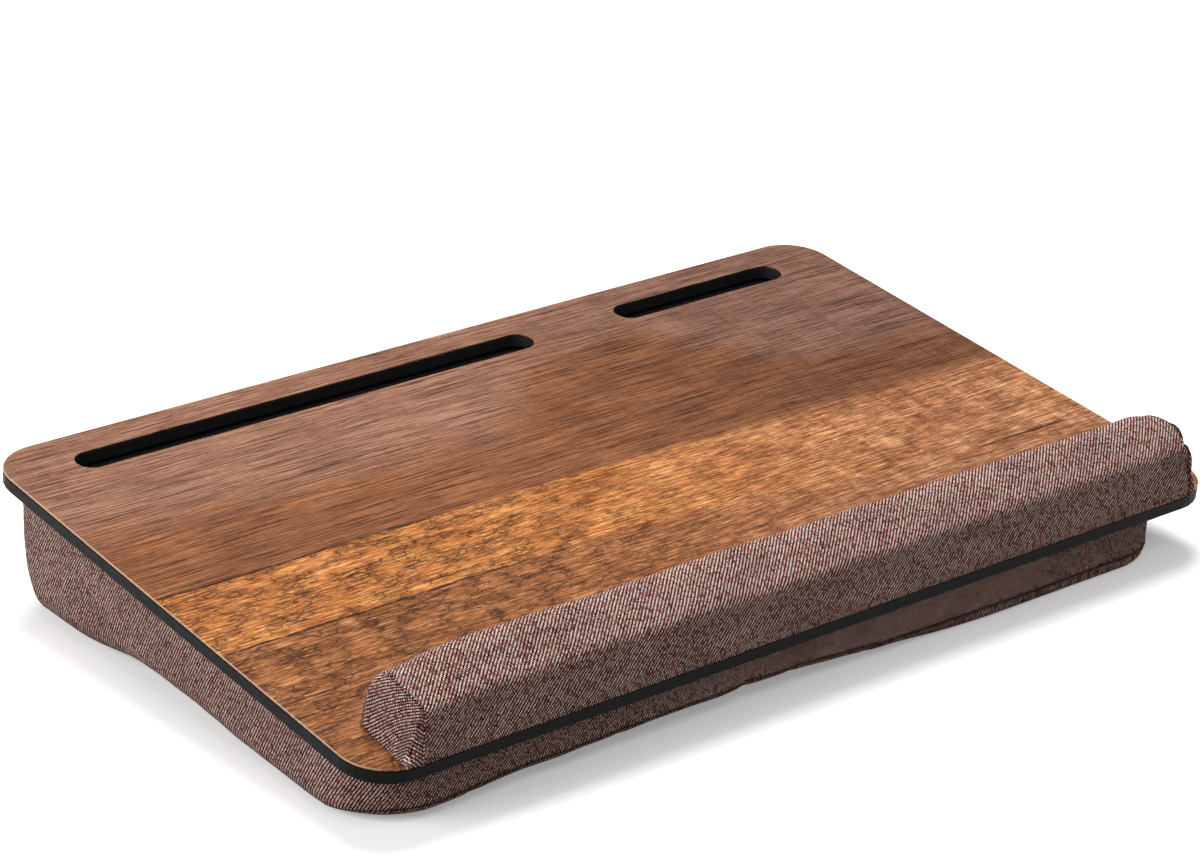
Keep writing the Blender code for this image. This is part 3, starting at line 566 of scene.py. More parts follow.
def add_sheet(bm, rows, closed):
    """Adds quads through rows of points."""
    grid = [[bm.verts.new(point) for point in row] for row in rows]
    count = len(rows[0])
    for upper, lower in zip(grid, grid[1:]):
        for number in range(count if closed else count - 1):
            after = (number + 1) % count
            bm.faces.new((upper[number], lower[number], lower[after], upper[after]))


def close_holes(bm):
    bmesh.ops.holes_fill(bm, edges=[edge for edge in bm.edges if edge.is_boundary], sides=0)
    bmesh.ops.triangulate(bm, faces=[face for face in bm.faces if len(face.verts) > 4])


def evenly_faced(rough, voxel, soften=0):
    """A closed mesh made anew of even faces, and softened a number of times."""
    block = in_scene(rough.name, rough)
    remesh = block.modifiers.new("even_faces", "REMESH")
    remesh.mode = "VOXEL"
    remesh.voxel_size = voxel
    if soften:
        block.modifiers.new("soft_edges", "SMOOTH").iterations = soften
    evaluated = block.evaluated_get(bpy.context.evaluated_depsgraph_get())
    mesh = bpy.data.meshes.new_from_object(evaluated)
    bpy.data.objects.remove(block)
    return mesh


def mesh_rows(name, rows, marks, closed, sewn=None):
    """A sheet of quads through rows of points, with its place on the cloth as a UV map.

    Where sewn says how near each point is to a seam, its mesh keeps that for the material, which
    paints shade along the seam.
    """
    bm = bmesh.new()
    weave = bm.loops.layers.uv.new("weave")
    near_seam = bm.verts.layers.float.new("sewn")
    grid = [[bm.verts.new(point) for point in row] for row in rows]
    for number, row in enumerate(grid if sewn else []):
        for vert, share in zip(row, sewn[number]):
            vert[near_seam] = share
    count = len(rows[0])
    for upper in range(len(rows) - 1):
        for number in range(count if closed else count - 1):
            after = (number + 1) % count
            corners = ((upper, number, number), (upper + 1, number, number),
                       (upper + 1, after, number + 1), (upper, after, number + 1))
            face = bm.faces.new([grid[row][column] for row, column, _ in corners])
            for loop, (row, _, mark) in zip(face.loops, corners):
                loop[weave].uv = marks[row][mark]
    return made_mesh(name, bm)


def put(name, mesh, finish, body="desk", place=board_place):
    """A finished piece at the origin, with its place in its mesh."""
    mesh.transform(place)
    mesh.materials.clear()
    mesh.materials.append(finish.material)
    mesh.shade_smooth()
    piece = in_scene(name, mesh)
    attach(piece, body)
    return piece


THREAD_PITCH = 0.00076
TWILL_REPEAT = 3
THREAD_COLOURS = ((0, shade(88, 52, 47)), (0.3, shade(184, 122, 112)),
                  (0.62, shade(255, 190, 178)), (1, shade(255, 230, 218)))
# How dark the painted shade along the seams is, where a point lies on the seam.
SEAM_PAINTED_SHADE = 0.16


def tweed(name, turn=0):
    """A twill of thick heathered threads, pinkish beige on dark brown, with painted shade in the gaps
    between them.

    The turn is the angle that the cloth is cut at, against the line of its seam.
    """
    cloth = Finish(name, {"Roughness": 0.95, "Specular IOR Level": 0.06,
                          "Sheen Weight": 0.015, "Sheen Roughness": 0.6})
    flat = cloth.node("UVMap", uv_map="weave").outputs[0]
    weave = cloth.node("Mapping", {"Vector": flat, "Rotation": (0, 0, turn)}).outputs[0]
    u, v, _ = cloth.apart(weave)
    sway_u = cloth.cloud(weave, (160, 60, 0), 2)
    sway_v = cloth.cloud(weave, (60, 160, 0), 2)
    a = cloth.sum("MULTIPLY_ADD", u, 1 / THREAD_PITCH, sway_u)
    b = cloth.sum("MULTIPLY_ADD", v, 1 / THREAD_PITCH, sway_v)

    def thread(across, along, middle):
        """Height of a thread that floats over the others around each middle, and its tone."""
        number = cloth.sum("FLOOR", across)
        form = cloth.sum("ABSOLUTE", cloth.sum("SINE", cloth.sum("MULTIPLY", across, math.pi)))
        form = cloth.sum("POWER", form, 0.5)
        turned = cloth.sum("SUBTRACT", cloth.sum("ADD", along, number), middle)
        turned = cloth.sum("DIVIDE", turned, TWILL_REPEAT)
        wave = cloth.sum("COSINE", cloth.sum("MULTIPLY", turned, 2 * math.pi))
        height = cloth.sum("MULTIPLY", form, cloth.sum("MULTIPLY_ADD", wave, 0.5, 0.5))
        float_number = cloth.sum("FLOOR", cloth.sum("ADD", turned, 0.5))
        spot = cloth.together(number, float_number, middle)
        chance = cloth.node("TexWhiteNoise", {"Vector": spot}).outputs["Value"]
        yarn = cloth.cloud(cloth.together(cloth.sum("MULTIPLY", number, 3.7), along, middle),
                           (1, 0.16, 1), 2, 0.6)
        tone = cloth.sum("MULTIPLY_ADD", yarn, 0.55, 0.22)
        tone = cloth.around(chance, 0.28, tone)
        tone = cloth.sum("MULTIPLY_ADD", cloth.sum("POWER", chance, 5), 0.36, tone)
        return height, tone

    warp, warp_tone = thread(a, b, 1)
    weft, weft_tone = thread(b, a, 2.5)
    weft = cloth.sum("MULTIPLY", weft, 0.5)
    height = cloth.sum("MAXIMUM", warp, weft)
    warp_above = cloth.sum("GREATER_THAN", warp, weft)
    weft_tone = cloth.sum("SUBTRACT", weft_tone, 0.22)
    heather = cloth.tint(warp_above, weft_tone, warp_tone)
    fibres = cloth.cloud(weave, (2400, 2400, 0), 2, 0.6)
    tone = cloth.around(fibres, 0.3, heather)
    threads = cloth.ramp(cloth.span(tone, 0.16, 0.74), THREAD_COLOURS)
    # Painted shade: the colour is darkened where the weave is low, in the gaps between threads; the
    # patchy noise below varies the tone at random.
    depth = cloth.span(height, 0.3, 0.78, 0.02, 1.0)
    patchy = cloth.cloud(weave, (28, 28, 0), 3, 0.6)
    depth = cloth.sum("MULTIPLY", depth, cloth.span(patchy, 0.3, 0.7, 0.86, 1.12))
    # Painted shade along the seams, from each point's nearness to its sewn line.
    sewn = cloth.node("Attribute", attribute_name="sewn").outputs["Fac"]
    depth = cloth.sum("MULTIPLY", depth, cloth.span(sewn, 0.35, 1, 1, SEAM_PAINTED_SHADE))
    cloth.colour(cloth.tint(1.0, threads, cloth.together(depth, depth, depth), "MULTIPLY"))
    fuzz = cloth.around(fibres, 0.25, height)
    cloth.relief(fuzz, 0.0004)
    return cloth


tweed_cloth = tweed("brown_tweed")
band_tweed = tweed("brown_tweed_band", math.radians(18))


def lengths_along(points, closed):
    """Distance of each point along a run, and the whole way round where it closes."""
    lengths = [0]
    for before, after in zip(points, points[1:] + (points[:1] if closed else [])):
        lengths.append(lengths[-1] + (after - before).length)
    return lengths


def make_cushion_cover():
    plan, rows = cloth_rows()
    round_plan = lengths_along([spot for spot, _ in plan], closed=True)
    band_rows = len(BAND_SHARES)
    side_rows = band_rows + len(PANEL_SHARES)
    heights = [CUSHION_TOP - underside(*spot) for spot, _ in plan]
    marks = []
    for number, row in enumerate(rows):
        if number < side_rows:
            share = (BAND_SHARES + PANEL_SHARES)[number]
            marks.append([(length, share * heights[spot % len(plan)])
                          for spot, length in enumerate(round_plan)])
        else:
            marks.append([(point.x, point.y) for point in row + row[:1]])
    return rows, marks


def crease(rows, seam_row, depth, reach):
    """Pulls the cloth in along a sewn row, and says how near each point is to it, for the painted
    shade along the seam.
    """
    sewn = [[0] * len(row) for row in rows]
    for column in range(len(rows[0])):
        seam = rows[seam_row][column].copy()
        above, below = rows[seam_row - 2][column], rows[seam_row + 2][column]
        after = rows[seam_row][(column + 1) % len(rows[0])]
        inward = (above - below).cross(after - seam).normalized()
        for row in range(seam_row - 6, seam_row + 6):
            point = rows[row][column]
            share = math.exp(-(point - seam).length / reach)
            rows[row][column] = point - inward * depth * share
            sewn[row][column] = share
    return sewn


def settle(sheets, voxel, held, give, most):
    """A cloth simulation of a padded piece: the filling presses its cloth out where it isn't held.

    Gives a function that says how a point of the cloth moves: not further than most, and
    nearly that far where the simulation gives way by more than give.
    """
    bm = bmesh.new()
    for rows, closed in sheets:
        add_sheet(bm, rows, closed)
    bmesh.ops.remove_doubles(bm, verts=bm.verts, dist=SHEETS_MEET)
    close_holes(bm)
    bmesh.ops.recalc_face_normals(bm, faces=bm.faces)
    pad = in_scene("pad", evenly_faced(made_mesh("closed_pad", bm), voxel))
    before = [vert.co.copy() for vert in pad.data.vertices]
    pins = pad.vertex_groups.new(name="held")
    for number, point in enumerate(before):
        weight = held(point)
        if weight:
            pins.add([number], weight, "REPLACE")
    cloth = pad.modifiers.new("filling_pressure", "CLOTH")
    cloth.settings.quality = CLOTH_QUALITY
    cloth.settings.use_pressure = True
    cloth.settings.uniform_pressure_force = FILLING_PRESSURE
    cloth.settings.effector_weights.gravity = 0
    cloth.settings.vertex_group_mass = "held"
    for number in range(1, CLOTH_FRAMES + 1):
        bpy.context.scene.frame_set(number)
    evaluated = pad.evaluated_get(bpy.context.evaluated_depsgraph_get())
    after = [vert.co.copy() for vert in evaluated.data.vertices]
    bpy.data.objects.remove(pad)
    bpy.context.scene.frame_set(1)
    tree = KDTree(len(before))
    for number, point in enumerate(before):
        tree.insert(point, number)
    tree.balance()

    def move(point):
        total, weights = Vector(), 0
        for _, number, away in tree.find_n(point, CLOTH_POINTS_READ):
            weight = 1 / (away + voxel / 4) ** 2
            total += (after[number] - before[number]) * weight
            weights += weight
        total /= weights
        if total.length < CLOTH_AT_REST:
            return total
        return total.normalized() * most * math.tanh(total.length / give)

    return move


def cushion_held(point):
    """The cover is held along the board, round the zip, and where it stands."""
    along_board = point.z > CUSHION_TOP - HELD_AT_BOARD
    at_zip = (point.y > CUSHION_REAR - ZIP_HELD_DEPTH
              and abs(point.x) < ZIP_HALF_LENGTH + HELD_ROUND_ZIP
              and abs(point.z - zip_middle) < ZIP_HALF_HEIGHT + HELD_ROUND_ZIP)
    standing = point.z < surface_below(point.y) + HELD_WHERE_STANDING
    return 1 if along_board or at_zip or standing else 0


HELD_AT_BOARD = 0.004
ZIP_HELD_DEPTH = 0.012
HELD_ROUND_ZIP = 0.008
HELD_WHERE_STANDING = 0.001
# Points of separate sheets that meet, and points of one mesh that are the same.
SHEETS_MEET = 0.00002
SAME_POINT = 0.00001
CLOTH_POINTS_READ = 6
CLOTH_AT_REST = 1e-7
CLOTH_QUALITY = 5
CLOTH_FRAMES = 20
FILLING_PRESSURE = 4
CUSHION_VOXEL = 0.006
CUSHION_GIVE = 0.008
CUSHION_MOST = 0.0016
cover_rows, cover_marks = make_cushion_cover()
swell = settle([(cover_rows, True)], CUSHION_VOXEL, cushion_held,
               CUSHION_GIVE, CUSHION_MOST)
for number, row in enumerate(cover_rows[:len(BAND_SHARES) + len(PANEL_SHARES)]):
    for column, point in enumerate(row):
        if not cushion_held(point):
            row[column] = point + swell(point)
seam_row = len(BAND_SHARES) - 1
cover_sewn = crease(cover_rows, seam_row, SEAM_DEPTH, SEAM_REACH)


def cut_opening(mesh):
    """Takes out the faces of the zip's opening, whose edges the rows and spots follow."""
    bm = bmesh.new()
    bm.from_mesh(mesh)
    inside = [
        face for face in bm.faces
        if abs(face.calc_center_median().x) < ZIP_HALF_LENGTH
        and face.calc_center_median().y > CUSHION_REAR - CUSHION_CORNER
        and abs(face.calc_center_median().z - zip_middle) < ZIP_HALF_HEIGHT
    ]
    bmesh.ops.delete(bm, geom=inside, context="FACES")
    bm.to_mesh(mesh)
    bm.free()


def wall(piece, thickness):
    modifier = piece.modifiers.new("cloth_thickness", "SOLIDIFY")
    modifier.thickness = thickness
    modifier.offset = -1
    modifier.use_even_offset = False


band_mesh = mesh_rows("cushion_band_cloth", cover_rows[:seam_row + 1],
                      cover_marks[:seam_row + 1], True, cover_sewn[:seam_row + 1])
cut_opening(band_mesh)
band_cloth = put("cushion_band_cloth", band_mesh, band_tweed)
wall(band_cloth, COVER_THICKNESS)
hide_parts("cushion_side_band")

panel_mesh = mesh_rows("cushion_bottom_cloth", cover_rows[seam_row:],
                       cover_marks[seam_row:], True, cover_sewn[seam_row:])
merge_points(panel_mesh)
bottom_cloth = put("cushion_bottom_cloth", panel_mesh, tweed_cloth)
wall(bottom_cloth, COVER_THICKNESS)
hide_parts("cushion_bottom_panel")


# Wrist rest: a foam bar in the same tweed, one length of cloth over the bar and a sewn
# panel at each end, taped along the front of the board.

REST_FRONT = 0.0015
REST_REAR = REST_FRONT + 0.040
REST_RIDGE = (REST_FRONT + 0.0025, 0.0265)
REST_BACK = (REST_REAR - 0.0015, 0.039)
REST_CROWN = 0.0012
REST_BULGE = 0.0026
REST_OVERHANG = 0.0008
REST_BULGE_HEIGHT = 0.0045
REST_BULGE_REACH = 0.0085
REST_BULGE_DEPTH = 0.006
# In front the cloth hangs over the board's edge: below this height, and over this run.
REST_OVERHANG_HEIGHT, REST_OVERHANG_START, REST_OVERHANG_RUN = 0.004, 0.0008, 0.001
# The rear edge is lower at the ends: from here to the rear, and above this height.
REST_REAR_START, REST_REAR_RUN, REST_REAR_HEIGHT = 0.022, 0.014, 0.02
# Lumps per metre along the bar and across it, and their size: the slow and the quick ones.
REST_SLOW_LUMPS, REST_SLOW_LUMP = (28, 45), 0.0007
REST_QUICK_LUMPS, REST_QUICK_LUMP, REST_QUICK_SHIFT = (110, 150), 0.00022, 7
REST_RADII = (0.007, 0.030, 0.011)
REST_COVER_THICKNESS = 0.0012
REST_SECTION_POINTS = 84
REST_SEAM_REACH = 0.0012
REST_SEAM_ROWS = 8
# The end panel's rows crowd towards its seam, which also draws it down; it puffs between.
REST_END_CROWDING, REST_SEAM_DOWN_SHARE, REST_END_PUFF = 1.15, 0.6, 0.0006
REST_END_FOOT_SHARE = 4
REST_MIDDLE_HEIGHT = 0.012
REST_FOOT_HELD = 0.006
# How strongly the painted shade along the rest's seams shows, along the section from its front foot
# to its rear foot.
SEAM_SHADE_STRENGTH = ((0, 1), (0.45, 1), (0.6, 0.6), (0.75, 0.3), (1, 0.5))
REST_STEP = 0.003
REST_END_STEPS = 22
REST_FIRST_STEPS = (0.0004, 0.0008, 0.0013, 0.002, 0.003, 0.0042, 0.006, 0.0085)
ARC_STEPS = 10
# For each end, along the section from its front foot (0) to its rear foot (1): how far
# the sewn seam stands in from the foot of the end panel, how round the panel is there
# (1 is a quarter circle, 2 a straight slope), and how deep the seam pulls in.
REST_ENDS = {
    "left": {
        "foot": -BOARD_WIDTH / 2 + 0.0197, "foot_skew": 0.0026,
        "drop": (0.085, 0.050), "rear_drop": (0.0018, 0.028),
        "inset": ((0, 0.0083), (0.19, 0.0107), (0.27, 0.0118), (0.345, 0.0104), (0.43, 0.0078),
                  (0.5, 0.0072), (0.58, 0.0074), (0.68, 0.0082), (1, 0.0070)),
        "round": ((0, 1.9), (0.3, 1.8), (0.5, 1.35), (0.7, 1.0), (1, 1.0)),
        "seam": ((0, 0.0011), (0.48, 0.0013), (0.56, 0.0004), (0.7, 0.0001), (1, 0.0003)),
    },
    "right": {
        "foot": BOARD_WIDTH / 2 - 0.0185, "foot_skew": -0.0010,
        "drop": (0.035, 0.016), "rear_drop": (0.0012, 0.012),
        "inset": ((0, 0.0050), (0.27, 0.0048), (0.33, 0.0055), (0.36, 0.0026), (0.42, 0.0014),
                  (0.48, 0.0036), (0.56, 0.0070), (0.68, 0.0090), (1, 0.0070)),
        "round": ((0, 1.0), (0.3, 0.9), (0.5, 0.9), (0.7, 1.0), (1, 1.0)),
        "seam": ((0, 0.0003), (0.28, 0.0005), (0.34, 0.0018), (0.4, 0.0005), (1, 0.0003)),
    },
}


def fillet_path(corners, radii):
    """An open path through corners, each inner one rounded to its radius."""
    path = [Vector(corners[0])]
    for before, corner, after, radius in zip(corners, corners[1:], corners[2:], radii):
        corner = Vector(corner)
        back = (Vector(before) - corner).normalized()
        ahead = (Vector(after) - corner).normalized()
        half = back.angle(ahead) / 2
        centre = corner + (back + ahead).normalized() * radius / math.sin(half)
        start = corner + back * radius / math.tan(half) - centre
        turn = start.angle_signed(corner + ahead * radius / math.tan(half) - centre)
        for step in range(ARC_STEPS + 1):
            path.append(centre + Matrix.Rotation(-turn * step / ARC_STEPS, 2) @ start)
    path.append(Vector(corners[-1]))
    return path


def evenly(path, count):
    """The same path through points an even distance apart."""
    lengths = lengths_along(path, closed=False)
    spots, piece = [], 0
    for number in range(count):
        length = lengths[-1] * number / (count - 1)
        while piece < len(path) - 2 and lengths[piece + 1] < length:
            piece += 1
        run = lengths[piece + 1] - lengths[piece]
        spots.append(path[piece].lerp(path[piece + 1], (length - lengths[piece]) / run))
    return spots


def rest_section(distance):
    crown = ((REST_RIDGE[0] + REST_BACK[0]) / 2, (REST_RIDGE[1] + REST_BACK[1]) / 2 + REST_CROWN)
    corners = ((REST_FRONT, 0), REST_RIDGE, crown, REST_BACK, (REST_REAR, 0))
    path = evenly(fillet_path(corners, REST_RADII), REST_SECTION_POINTS)
    moved = []
    for number, point in enumerate(path):
        along = path[min(number + 1, len(path) - 1)] - path[max(number - 1, 0)]
        along.normalize()
        bulge = REST_BULGE * near(point.y, REST_BULGE_HEIGHT, REST_BULGE_REACH)
        bulge *= ease(1 - (point.x - REST_FRONT) / REST_BULGE_DEPTH)
        moved.append(point + distance * Vector((along.y, -along.x)) - Vector((bulge, 0)))
    return moved


def rest_low_end(point, from_seam, end):
    """The bar is a little lower towards its ends, and its rear edge more so."""
    drop, length = end["drop"]
    height = point.y * (1 - drop * ease(1 - from_seam / length))
    rear = ease((point.x - REST_REAR_START) / REST_REAR_RUN)
    rear *= min(1, point.y / REST_REAR_HEIGHT)
    drop, length = end["rear_drop"]
    return height - drop * rear * ease(1 - from_seam / length)


def rest_overhang(point):
    """In front the cloth bulges past the board's edge and hangs a little below its top."""
    low = ease(1 - point.y / REST_OVERHANG_HEIGHT)
    return REST_OVERHANG * low * ease((REST_OVERHANG_START - point.x) / REST_OVERHANG_RUN)


def rest_seam_x(end, share, y):
    side = -1 if end["foot"] < 0 else 1
    skew = end["foot_skew"] * (y - REST_FRONT) / (REST_REAR - REST_FRONT)
    foot = end["foot"] + skew
    return foot, foot - side * between(end["inset"], share)


def rest_lumps(place):
    """Foam and cloth are never quite even."""
    along, across = REST_SLOW_LUMPS
    slow = noise.noise(Vector((place.x * along, place.y * across, place.z * across)))
    along, across = REST_QUICK_LUMPS
    quick = noise.noise(Vector((place.x * along + REST_QUICK_SHIFT,
                                place.y * across, place.z * across)))
    return REST_SLOW_LUMP * slow + REST_QUICK_LUMP * quick


def on_rest(x, point, height):
    """A point of the rest's cloth, moved by the foam's lumps except at its foot."""
    spot = Vector((x, point.x, max(height, 0) + ROOM - rest_overhang(point)))
    middle = (REST_FRONT + REST_REAR) / 2
    out = Vector((0, point.x - middle, point.y - REST_MIDDLE_HEIGHT)).normalized()
    return spot + out * rest_lumps(spot) * min(1, point.y / REST_FOOT_HELD)


def seam_depth(end, share, from_seam):
    return math.exp(-from_seam / REST_SEAM_REACH) * between(end["seam"], share)


def seam_pull(end, ring, number, point):
    """How the sewn seam along a ring of points draws in a point beside it."""
    last = len(ring) - 1
    along = ring[min(number + 1, last)] - ring[max(number - 1, 0)]
    inward = Vector((0, along.z, -along.y)).normalized()
    return inward * seam_depth(end, number / last, (point - ring[number]).length)


def rest_rows(seams):
    """Rows along the bar between its two end seams, and where each end's seam and foot are."""
    section = rest_section(0)
    last = len(section) - 1
    feet = {}
    for place, end in REST_ENDS.items():
        feet[place] = [rest_seam_x(end, n / last, p.x) for n, p in enumerate(section)]
    length = feet["right"][0][1] - feet["left"][0][1]
    plain = round((length - 2 * REST_FIRST_STEPS[-1]) / REST_STEP)
    stations = [0, *REST_FIRST_STEPS]
    run = length - 2 * REST_FIRST_STEPS[-1]
    stations += [REST_FIRST_STEPS[-1] + run * n / plain for n in range(1, plain + 1)]
    stations += [length - step for step in REST_FIRST_STEPS[-2::-1]] + [length]
    rows = []
    for station in stations:
        row = []
        for number, point in enumerate(section):
            left, right = feet["left"][number][1], feet["right"][number][1]
            x = right + (left - right) * station / length
            from_seam = min(x - left, right - x)
            end = REST_ENDS["left" if x - left < right - x else "right"]
            row.append(on_rest(x, point, rest_low_end(point, from_seam, end)))
        rows.append(row)
    for place, end in REST_ENDS.items():
        ring = rows[-1] if place == "left" else rows[0]
        for row in range(-REST_SEAM_ROWS, 0) if place == "left" else range(REST_SEAM_ROWS):
            rows[row] = [point + seam_pull(end, ring, number, point) * seams
                         for number, point in enumerate(rows[row])]
    return rows, feet


def rest_end_rows(place, ring, plain_ring, feet, seams):
    """The end panel, from its seam to its foot on the board."""
    end = REST_ENDS[place]
    last = len(ring) - 1
    rows = [ring]
    for step in range(1, REST_END_STEPS + 1):
        turn = math.pi / 2 * (step / REST_END_STEPS) ** REST_END_CROWDING
        row = []
        for number, seam in enumerate(plain_ring):
            form = between(end["round"], number / last)
            foot = feet[place][number][0]
            up, out = math.cos(turn) ** form, math.sin(turn) ** form
            if step == REST_END_STEPS:
                up, out = 0, 1
            spot = Vector((seam.x + (foot - seam.x) * out, seam.y, ROOM + (seam.z - ROOM) * up))
            from_seam = (spot - seam).length
            side = 1 if foot < 0 else -1
            sink = seam_depth(end, number / last, from_seam) * seams
            puff = REST_END_PUFF * math.sin(math.pi * min(1, up))
            puff *= math.sin(math.pi * min(1, out))
            lumps = rest_lumps(spot) * min(1, up * REST_END_FOOT_SHARE)
            spot.x += side * (sink - puff - lumps)
            spot.z -= sink * REST_SEAM_DOWN_SHARE * up
            row.append(spot)
        rows.append(row)
    return rows


def rest_sewn(rows, rings):
    """How near each point is to the sewn line at its end of the bar, for the painted shade along it.
    """
    sewn = []
    for row in rows:
        shares = []
        for number, point in enumerate(row):
            strength = between(SEAM_SHADE_STRENGTH, number / (len(row) - 1))
            away = min((point - ring[number]).length for ring in rings)
            shares.append(strength * math.exp(-away / REST_SEAM_REACH))
        sewn.append(shares)
    return sewn


def rest_sheets(seams):
    """The three sheets of the rest: over the bar, and the panel at each end."""
    rows, feet = rest_rows(seams)
    section = rest_section(0)
    lengths = lengths_along(section, closed=False)
    marks = [[(-point.x, length) for point, length in zip(row, lengths)] for row in rows]
    sheets = {"bar": (rows[::-1], marks[::-1], rest_sewn(rows, (rows[0], rows[-1]))[::-1])}
    for place, side in (("left", -1), ("right", 1)):
        ring = rows[-1] if side < 0 else rows[0]
        plain_ring = []
        for number, point in enumerate(section):
            low = rest_low_end(point, 0, REST_ENDS[place])
            plain_ring.append(on_rest(feet[place][number][1], point, low))
        end_rows = rest_end_rows(place, ring, plain_ring, feet, seams)
        end_marks = []
        for row in end_rows:
            marked = []
            for number, point in enumerate(row):
                share = number / (len(row) - 1)
                in_front, behind = ease((0.36 - share) / 0.1), ease((share - 0.66) / 0.1)
                lean = abs(point.x - feet[place][number][1])
                marked.append((-side * (point.y + lean * (behind - in_front)),
                               point.z - lean * (1 - in_front - behind)))
            end_marks.append(marked)
        sewn = rest_sewn(end_rows, (ring,))
        if side < 0:
            end_rows, end_marks, sewn = end_rows[::-1], end_marks[::-1], sewn[::-1]
        sheets[place] = (end_rows, end_marks, sewn)
    return sheets


REST_HELD_HEIGHT = 0.0028
REST_SEAM_FROM_FOOT, REST_SEAM_HELD, REST_SEAM_HOLD = 0.009, 0.002, 0.6
REST_SETTLED_HEIGHT = 0.005


def rest_held(point):
    """The rest's cloth is held along its foot and by the seam at each end."""
    feet = [end["foot"] for end in REST_ENDS.values()]
    off_seam = min(abs(abs(point.x - foot) - REST_SEAM_FROM_FOOT) for foot in feet)
    if point.z < REST_HELD_HEIGHT:
        return 1
    return REST_SEAM_HOLD if off_seam < REST_SEAM_HELD else 0


REST_VOXEL = 0.0045
REST_GIVE = 0.006
REST_MOST = 0.0011
rest_swell = None
plain_sheets = [(rows, False) for rows, _, _ in rest_sheets(seams=0).values()]
rest_swell = settle(plain_sheets, REST_VOXEL, rest_held, REST_GIVE, REST_MOST)


def settled(rows):
    """The rest's rows after the simulation; the foot stays on the board."""
    if not rest_swell:
        return rows
    return [[point + rest_swell(point) * ease(point.z / REST_SETTLED_HEIGHT) for point in row]
            for row in rows]


def make_rest_cloth():
    sheets = rest_sheets(seams=1)
    for place, name, node in (
        ("bar", "wrist_rest_cloth", "wrist_rest_cover"),
        ("left", "wrist_rest_end_cloth_left", "wrist_rest_end_left"),
        ("right", "wrist_rest_end_cloth_right", "wrist_rest_end_right"),
    ):
        rows, marks, sewn = sheets[place]
        mesh = mesh_rows(name, settled(rows), marks, False, sewn)
        if place != "bar":
            merge_points(mesh)
        piece = put(name, mesh, tweed_cloth)
        wall(piece, REST_COVER_THICKNESS)
        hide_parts(node)


def cut_foam():
    foam = Finish("open_cell_foam", {"Specular IOR Level": 0.1, "Roughness": 0.95})
    place = foam.on_board()
    pores = foam.node("TexVoronoi", {"Vector": place, "Scale": 1.6}).outputs["Distance"]
    age = foam.cloud(place, (0.05, 0.05, 0.05), 2)
    tone = foam.sum("MULTIPLY_ADD", age, 0.5, foam.sum("MULTIPLY", pores, 0.6))
    foam.colour(foam.ramp(tone, ((0.2, shade(238, 228, 200)), (0.8, shade(196, 180, 142)))))
    foam.relief(pores, 0.0003)
    return foam


FOAM_INSIDE = 0.0019
FOAM_LOW = 0.0040
FOAM_SAME_POINT = 0.0001


def make_rest_foam():
    """The bar of foam fills the cloth, and stands on the stiff strip."""
    bm = bmesh.new()
    for rows, _, _ in rest_sheets(seams=0).values():
        add_sheet(bm, settled(rows), closed=False)
    bmesh.ops.remove_doubles(bm, verts=bm.verts, dist=SHEETS_MEET)
    bm.normal_update()
    for vert in bm.verts:
        vert.co -= vert.normal * FOAM_INSIDE
        vert.co.z = max(vert.co.z, FOAM_LOW)
    bmesh.ops.remove_doubles(bm, verts=bm.verts, dist=FOAM_SAME_POINT)
    close_holes(bm)
    mesh = made_mesh("wrist_rest_foam_bar", bm)
    piece = put("wrist_rest_foam_bar", mesh, cut_foam())
    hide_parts("wrist_rest_foam")


def pressed_board():
    strip = Finish("pressed_hardboard", {"Roughness": 0.8, "Specular IOR Level": 0.2})
    place = strip.on_board()
    chips = strip.cloud(place, (0.8, 0.8, 2), 4, 0.7)
    return grained(strip, chips, (0.25, shade(92, 62, 40)), (0.75, shade(150, 112, 78)), 0.0001)


def paper_tape():
    tape = Finish("double_sided_tape", {"Roughness": 0.6, "Specular IOR Level": 0.3})
    place = tape.on_board()
    crepe = tape.cloud(place, (1.5, 0.2, 1), 3, 0.6)
    return grained(tape, crepe, (0.3, shade(188, 178, 158)), (0.7, shade(216, 208, 190)), 0.00005)


make_rest_cloth()
make_rest_foam()
dress("wrist_rest_base_strip", pressed_board())
rest_tape = paper_tape()
dress("wrist_rest_tape_front", rest_tape)
dress("wrist_rest_tape_rear", rest_tape)


# Filling: a thin pad in front and a thick bolster at the rear, both loose polyester
# fibre, kept apart by a divider that is sewn across the cover.

def fibre_filling():
    fibre = Finish("polyester_fibre", {"Roughness": 0.95, "Specular IOR Level": 0.1})
    place = fibre.on_board()
    tufts = fibre.cloud(place, (0.12, 0.12, 0.12), 4, 0.7)
    hairs = fibre.cloud(place, (1.4, 0.5, 1.4), 3, 0.7)
    tone = fibre.sum("MULTIPLY_ADD", hairs, 0.4, fibre.sum("MULTIPLY", tufts, 0.6))
    return grained(fibre, tone, (0.3, shade(206, 204, 198)), (0.7, shade(240, 239, 235)), 0.0006)


FILLING_VOXEL = 0.005
FILLING_INSIDE = 0.0012
FILLING_LUMPS = 0.0012
FILLING_LUMPS_PER_METRE = 45
FILLING_SOFTENED = 4
FILLING_FROM_COVER = COVER_THICKNESS + 0.0008


def cover_faces():
    bm = bmesh.new()
    bm.from_mesh(band_cloth.data)
    bm.from_mesh(bottom_cloth.data)
    tree = BVHTree.FromBMesh(bm)
    bm.free()
    return tree


